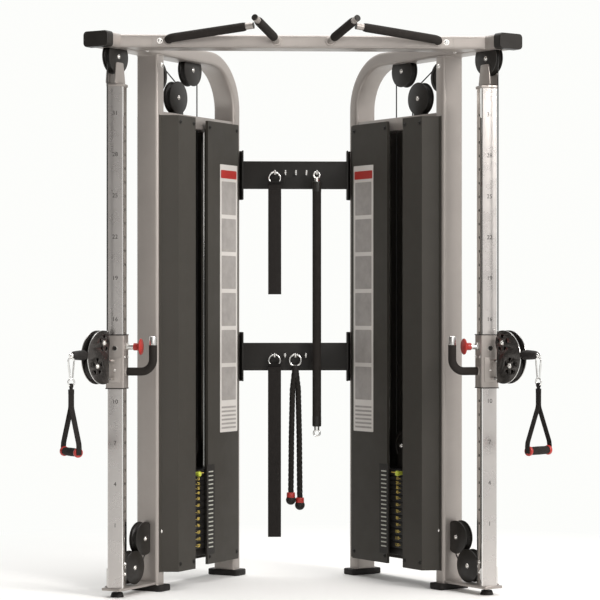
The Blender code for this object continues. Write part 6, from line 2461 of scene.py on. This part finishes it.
@dataclass
class Band:
    """A webbing strap with a ring, hung on a peg."""

    name: str
    y: float
    level: float
    length: float
    x: float = -0.088
    width: float = 0.055
    thickness: float = 0.005
    ring: float = 0.024
    wire: float = 0.0035

    def build(self, repeats: Repeats) -> None:
        """Makes the ring with the sewn fold, and the band.

        Args:
            repeats: the repeating groups.
        """
        top = self.level - self.ring + 0.004
        fold = 0.0075
        piece = Piece(self.name + "_looks", self.name, [self.name], "chrome")
        hoop = [(self.x + a, self.y, self.level + b) for a, b in circle((0, 0), self.ring, 36)]
        piece.add(Paint.CHROME, Forge.hoop(hoop, self.wire, (0, 1, 0)))
        stitch = Forge.block((-0.0017, -0.0008, -0.0004), (0.0017, 0.0008, 0.0004), 0.0002, 1)
        spots = []
        for drop in (0.018, 0.024, 0.034):
            for index in range(11):
                for sign in (-1, 1):
                    x = self.x + (index - 5) * 0.0044
                    spots.append(
                        Matrix.Translation((x, self.y - 0.0022 + sign * self.thickness / 2, top - drop))
                    )
        piece.add(Paint.THREAD, repeats.spread(stitch, Paint.THREAD, spots))
        holder = piece.build()
        ends = [
            (self.y, top - fold + 0.001),
            (self.y - 0.003, top - 0.030),
            (self.y + 0.001, top - self.length * 0.5),
        ]
        ends.append((self.y - 0.002, top - self.length + 0.001))
        band = Piece(self.name + "_band", self.name, [], "webbing")
        section = rounded(self.width, self.thickness * 0.96, 0.0020, 3)
        line = spaced(bend([(self.x, y, z) for y, z in ends], 0.25, 6), 0.02)
        band.add(Paint.WEBBING, Forge.swept(line, section))
        roll = Forge.rod(
            (self.x - self.width / 2, self.y, top),
            (self.x + self.width / 2, self.y, top),
            fold,
            24,
            0.001,
        )
        band.add(Paint.WEBBING, roll)
        cloth = band.build()


@dataclass
class StraightBar:
    """The straight bar with an eye at each end."""

    x: float = 0.088
    y: float = 0.3704
    upper: float = 1.6862
    lower: float = 0.6042
    top: float = 1.6752
    length: float = 1.060
    radius: float = 0.019

    def build(self) -> None:
        """Makes the bar."""
        piece = Piece("straight_bar_looks", "straight_bar", ["straight_bar"], "black_plastic")
        for level in (self.upper, self.lower):
            eye = [(self.x + a, self.y, level + b) for a, b in circle((0, 0), 0.013, 28)]
            piece.add(Paint.CHROME, Forge.hoop(eye, 0.004, (0, 1, 0)))
        neck = [(0.0, 0.0), (0.0100, 0.0), (0.0108, -0.001), (0.0120, -0.017), (0.0, -0.017)]
        cup = [
            (0.0, -0.016),
            (self.radius - 0.003, -0.016),
            (self.radius - 0.001, -0.0175),
            (self.radius, -0.022),
        ]
        cup += [(self.radius, -0.058), (self.radius - 0.0008, -0.059), (0.0, -0.059)]
        for frame in (Matrix.Translation((self.x, self.y, self.top)), self.mirrored()):
            piece.add(Paint.CHROME, Forge.turned(neck).moved(frame))
            piece.add(Paint.BLACK, Forge.turned(cup).moved(frame))
        high, low = self.top - 0.058, self.top - self.length + 0.058
        piece.add(
            Paint.FOAM, Forge.rod((self.x, self.y, low), (self.x, self.y, high), self.radius - 0.0006, 32),
        )
        piece.build()

    def mirrored(self) -> Matrix:
        """The frame of the lower end, turned upside down."""
        place = Matrix.Translation((self.x, self.y, self.top - self.length))
        return place @ Matrix.Rotation(math.pi, 4, "X")


@dataclass
class Rope:
    """The two-tail rope on its ring."""

    y: float = 0.417
    level: float = 0.9085
    ring: float = 0.024
    radius: float = 0.0125
    drop: float = 0.545
    more: float = 0.022
    spread: float = 0.019
    ball: float = 0.021
    strands: int = 3
    lay: float = 0.060

    def strand_section(self) -> list[Plan]:
        """A three-strand section.

        Returns:
            The outline.
        """
        made = []
        for index in range(30):
            angle = 2 * math.pi * index / 30
            swell = 1.0 - 0.11 * (1 - abs(math.cos(self.strands * angle / 2)))
            made.append((self.radius * swell * math.cos(angle), self.radius * swell * math.sin(angle)))
        return made

    def tail(self, line: Sequence[Vector]) -> Form:
        """A laid rope: the section turns as it runs.

        Args:
            line: the centre line.

        Returns:
            The form.
        """
        form = Forge.swept(line, self.strand_section())
        count = len(self.strand_section())
        for index, centre in enumerate(line):
            along = 2 * math.pi * form.run[index * count][1] / self.lay
            turn = np.array(Matrix.Rotation(along, 3, "Z"))
            ring = form.points[index * count : (index + 1) * count]
            ring[:] = (ring - np.array(centre)) @ turn.T + np.array(centre)
        return form

    def build(self) -> None:
        """Makes the ring, the neck, the tails and the balls."""
        top = self.level - self.ring
        piece = Piece("rope_fittings", "triceps_rope", ["triceps_rope"], "black_plastic")
        hoop = [(a, self.y, self.level + b) for a, b in circle((0, 0), self.ring, 36)]
        piece.add(Paint.CHROME, Forge.hoop(hoop, 0.004, (0, 1, 0)))
        neck = [
            (0.0, 0.002),
            (0.011, 0.002),
            (0.0145, 0.0),
            (0.015, -0.004),
            (0.0148, -0.046),
            (0.0135, -0.050),
            (0.0, -0.050),
        ]
        piece.add(Paint.RUBBER, Forge.turned(neck).at(0, self.y, top))
        runs = []
        for sign in (-1, 1):
            drop = self.drop + (self.more if sign > 0 else 0.0)
            corners = [(0.004, -0.030), (0.012, -0.100), (0.0165, -0.300), (self.spread, -drop)]
            runs.append(spaced([(sign * x, self.y, top + z) for x, z in corners], 0.004))
            end = runs[-1][-1]
            cup = [
                (0.0, 0.012),
                (0.0150, 0.012),
                (0.0172, 0.0108),
                (0.0180, 0.008),
                (0.0180, -0.010),
                (0.0, -0.010),
            ]
            piece.add(Paint.RED, Forge.turned(cup).at(*end))
            dome = [
                (self.ball * math.cos(a), self.ball * math.sin(a))
                for a in np.radians(np.linspace(90, -90, 15))
            ]
            globe = Forge.turned([(abs(r), z) for r, z in dome], 32)
            piece.add(Paint.RUBBER, globe.at(end.x, end.y, end.z - 0.020))
        fittings = piece.build()
        for word, run in zip(("left", "right"), runs):
            tail = Piece(f"rope_tail_{word}", "triceps_rope", [], "rope_fibre")
            tail.add(Paint.ROPE, self.tail(run))
            length = sum((b - a).length for a, b in zip(run, run[1:]))
            obj = tail.build()


@dataclass
class Studio:
    """The floor, the lights and the camera."""

    place: Point = (-0.410, -8.710, 1.120)
    target: Point = (0.0, 0.0, 1.120)
    lens: float = 130.0
    pixel_shift: Plan = (0.0, 10.0)
    white: Colour = (0.98, 0.985, 0.965)
    dim: Colour = (0.145, 0.138, 0.132)
    bright: Colour = (0.86, 0.85, 0.84)
    fade: Plan = (1.0, 2.6)

    def camera(self) -> None:
        """Sets the camera where the photograph was taken."""
        scene = bpy.context.scene
        data = bpy.data.cameras.new("camera")
        data.lens = self.lens
        data.sensor_width = 36.0
        data.shift_x, data.shift_y = (shift / 600.0 for shift in self.pixel_shift)
        camera = Forge.linked(data, "camera")
        camera.location = self.place
        aim = Vector(self.target) - Vector(self.place)
        camera.rotation_euler = aim.to_track_quat("-Z", "Y").to_euler()
        scene.camera = camera
        scene.render.resolution_x = 600
        scene.render.resolution_y = 600
        scene.view_settings.view_transform = "Standard"

    @staticmethod
    def seen(graph: Graph) -> Sock:
        """One where a ray is seen directly, in a mirror or through glass."""
        path = graph.make("ShaderNodeLightPath", output="Is Camera Ray")
        return path + path.other("Is Glossy Ray") + path.other("Is Transmission Ray")

    def world(self) -> None:
        """A plain bright sky that lights softly and shows as white."""
        made = bpy.data.worlds.new("studio")
        bpy.context.scene.world = made
        made.use_nodes = True
        graph = Graph(made.node_tree)
        back = made.node_tree.nodes["Background"]
        shown = graph.make("ShaderNodeBackground", None, {"Color": rgba(self.white), "Strength": 1.0})
        toward = graph.make(
            "ShaderNodeSeparateXYZ", None, {0: graph.make("ShaderNodeTexCoord", output="Generated")},
        )
        share = toward.ramp(-0.95, 0.95, 0.0, 1.0)
        front = graph.mix(share, rgba(self.dim), rgba(self.bright))
        behind = toward.other("Y").ramp(0.10, 0.60, 0.0, 1.0)
        graph.feed(back.inputs["Color"], graph.mix(behind, front, rgba(self.white)))
        path = graph.make("ShaderNodeLightPath", output="Is Camera Ray")
        inputs = {0: path + path.other("Is Transmission Ray"), 1: Sock(graph, back.outputs[0]), 2: shown}
        mixed = graph.make("ShaderNodeMixShader", None, inputs)
        graph.feed(made.node_tree.nodes["World Output"].inputs["Surface"], mixed)

    def floor(self) -> None:
        """A pale floor that takes the shadows."""
        mesh = bpy.data.meshes.new("floor")
        mesh.from_pydata([(-30, -30, 0), (30, -30, 0), (30, 30, 0), (-30, 30, 0)], [], [(0, 1, 2, 3)])
        made = bpy.data.materials.new("studio_floor")
        made.use_nodes = True
        graph = Graph(made.node_tree)
        shader = made.node_tree.nodes["Principled BSDF"]
        shader.inputs["Base Color"].default_value = (0.93, 0.922, 0.91, 1.0)
        shader.inputs["Roughness"].default_value = 0.7
        shown = graph.make("ShaderNodeEmission", None, {"Color": rgba(self.white), "Strength": 1.0})
        place = graph.make("ShaderNodeTexCoord", output="Object")
        reach = graph.make("ShaderNodeVectorMath", {"operation": "LENGTH"}, {0: place}, "Value")
        share = reach.ramp(self.fade[0], self.fade[1], 0.0, 1.0) * self.seen(graph)
        mixed = graph.make(
            "ShaderNodeMixShader", None, {0: share, 1: Sock(graph, shader.outputs[0]), 2: shown},
        )
        graph.feed(made.node_tree.nodes["Material Output"].inputs["Surface"], mixed)
        mesh.materials.append(made)
        floor = Forge.linked(mesh, "floor")

    def lamp(self, name: str, place: Point, size: Plan, power: float, colour: Colour) -> None:
        """A soft area light aimed at the machine.

        Args:
            name: its name.
            place: where it hangs.
            size: width and height.
            power: watts.
            colour: its tint.
        """
        data = bpy.data.lights.new(name, "AREA")
        data.shape = "RECTANGLE"
        data.size, data.size_y = size
        data.energy = power
        data.color = colour
        lamp = Forge.linked(data, name)
        lamp.location = place
        aim = Vector((0, 0, 1.0)) - Vector(place)
        lamp.rotation_euler = aim.to_track_quat("-Z", "Y").to_euler()

    def build(self) -> None:
        """Sets up everything."""
        self.camera()
        self.world()
        self.floor()
        self.lamp("key", (4.6, -5.0, 4.6), (2.6, 2.6), 430.0, (1.0, 0.975, 0.95))
        self.lamp("front", (0.6, -7.4, 2.6), (3.0, 2.0), 42.0, (1.0, 0.98, 0.96))
        self.lamp("top", (0.0, 0.5, 5.2), (4.0, 3.0), 150.0, (1.0, 0.99, 0.98))


def build_trainer(nodes: dict[str, bpy.types.Object]) -> None:
    """Dresses every part of the machine.

    Args:
        nodes: the CAD nodes.
    """
    repeats = Repeats()
    for side in Side:
        SideFrame(side).build(repeats)
        EndCap(side).build()
        GuidePost(side).build(repeats)
        Shrouds(side).build(repeats, nodes)
        WeightStack(side).build(repeats)
        HeadPlate(side).build(repeats)
        Carriage(side).build(repeats)
        Housing(side).build(repeats)
        Pulleys(side).build()
        Handle(side).build(repeats)
        Cables(side).build()
    Beam().build(repeats)
    Rack("upper_rack", 1.690, 0.082).build(repeats)
    Rack("lower_rack", 0.923, 0.038).build(repeats)
    Band("short_strap", 0.395, 1.6748, 0.470).build(repeats)
    Band("long_strap", 0.417, 0.9078, 0.725).build(repeats)
    StraightBar().build()
    Rope().build()


def main() -> None:
    """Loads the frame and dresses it."""
    logging.basicConfig(level=logging.INFO, format="%(message)s")
    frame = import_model()
    build_trainer(frame["nodes"])
    Studio().build()


if __name__ == "__main__":
    main()
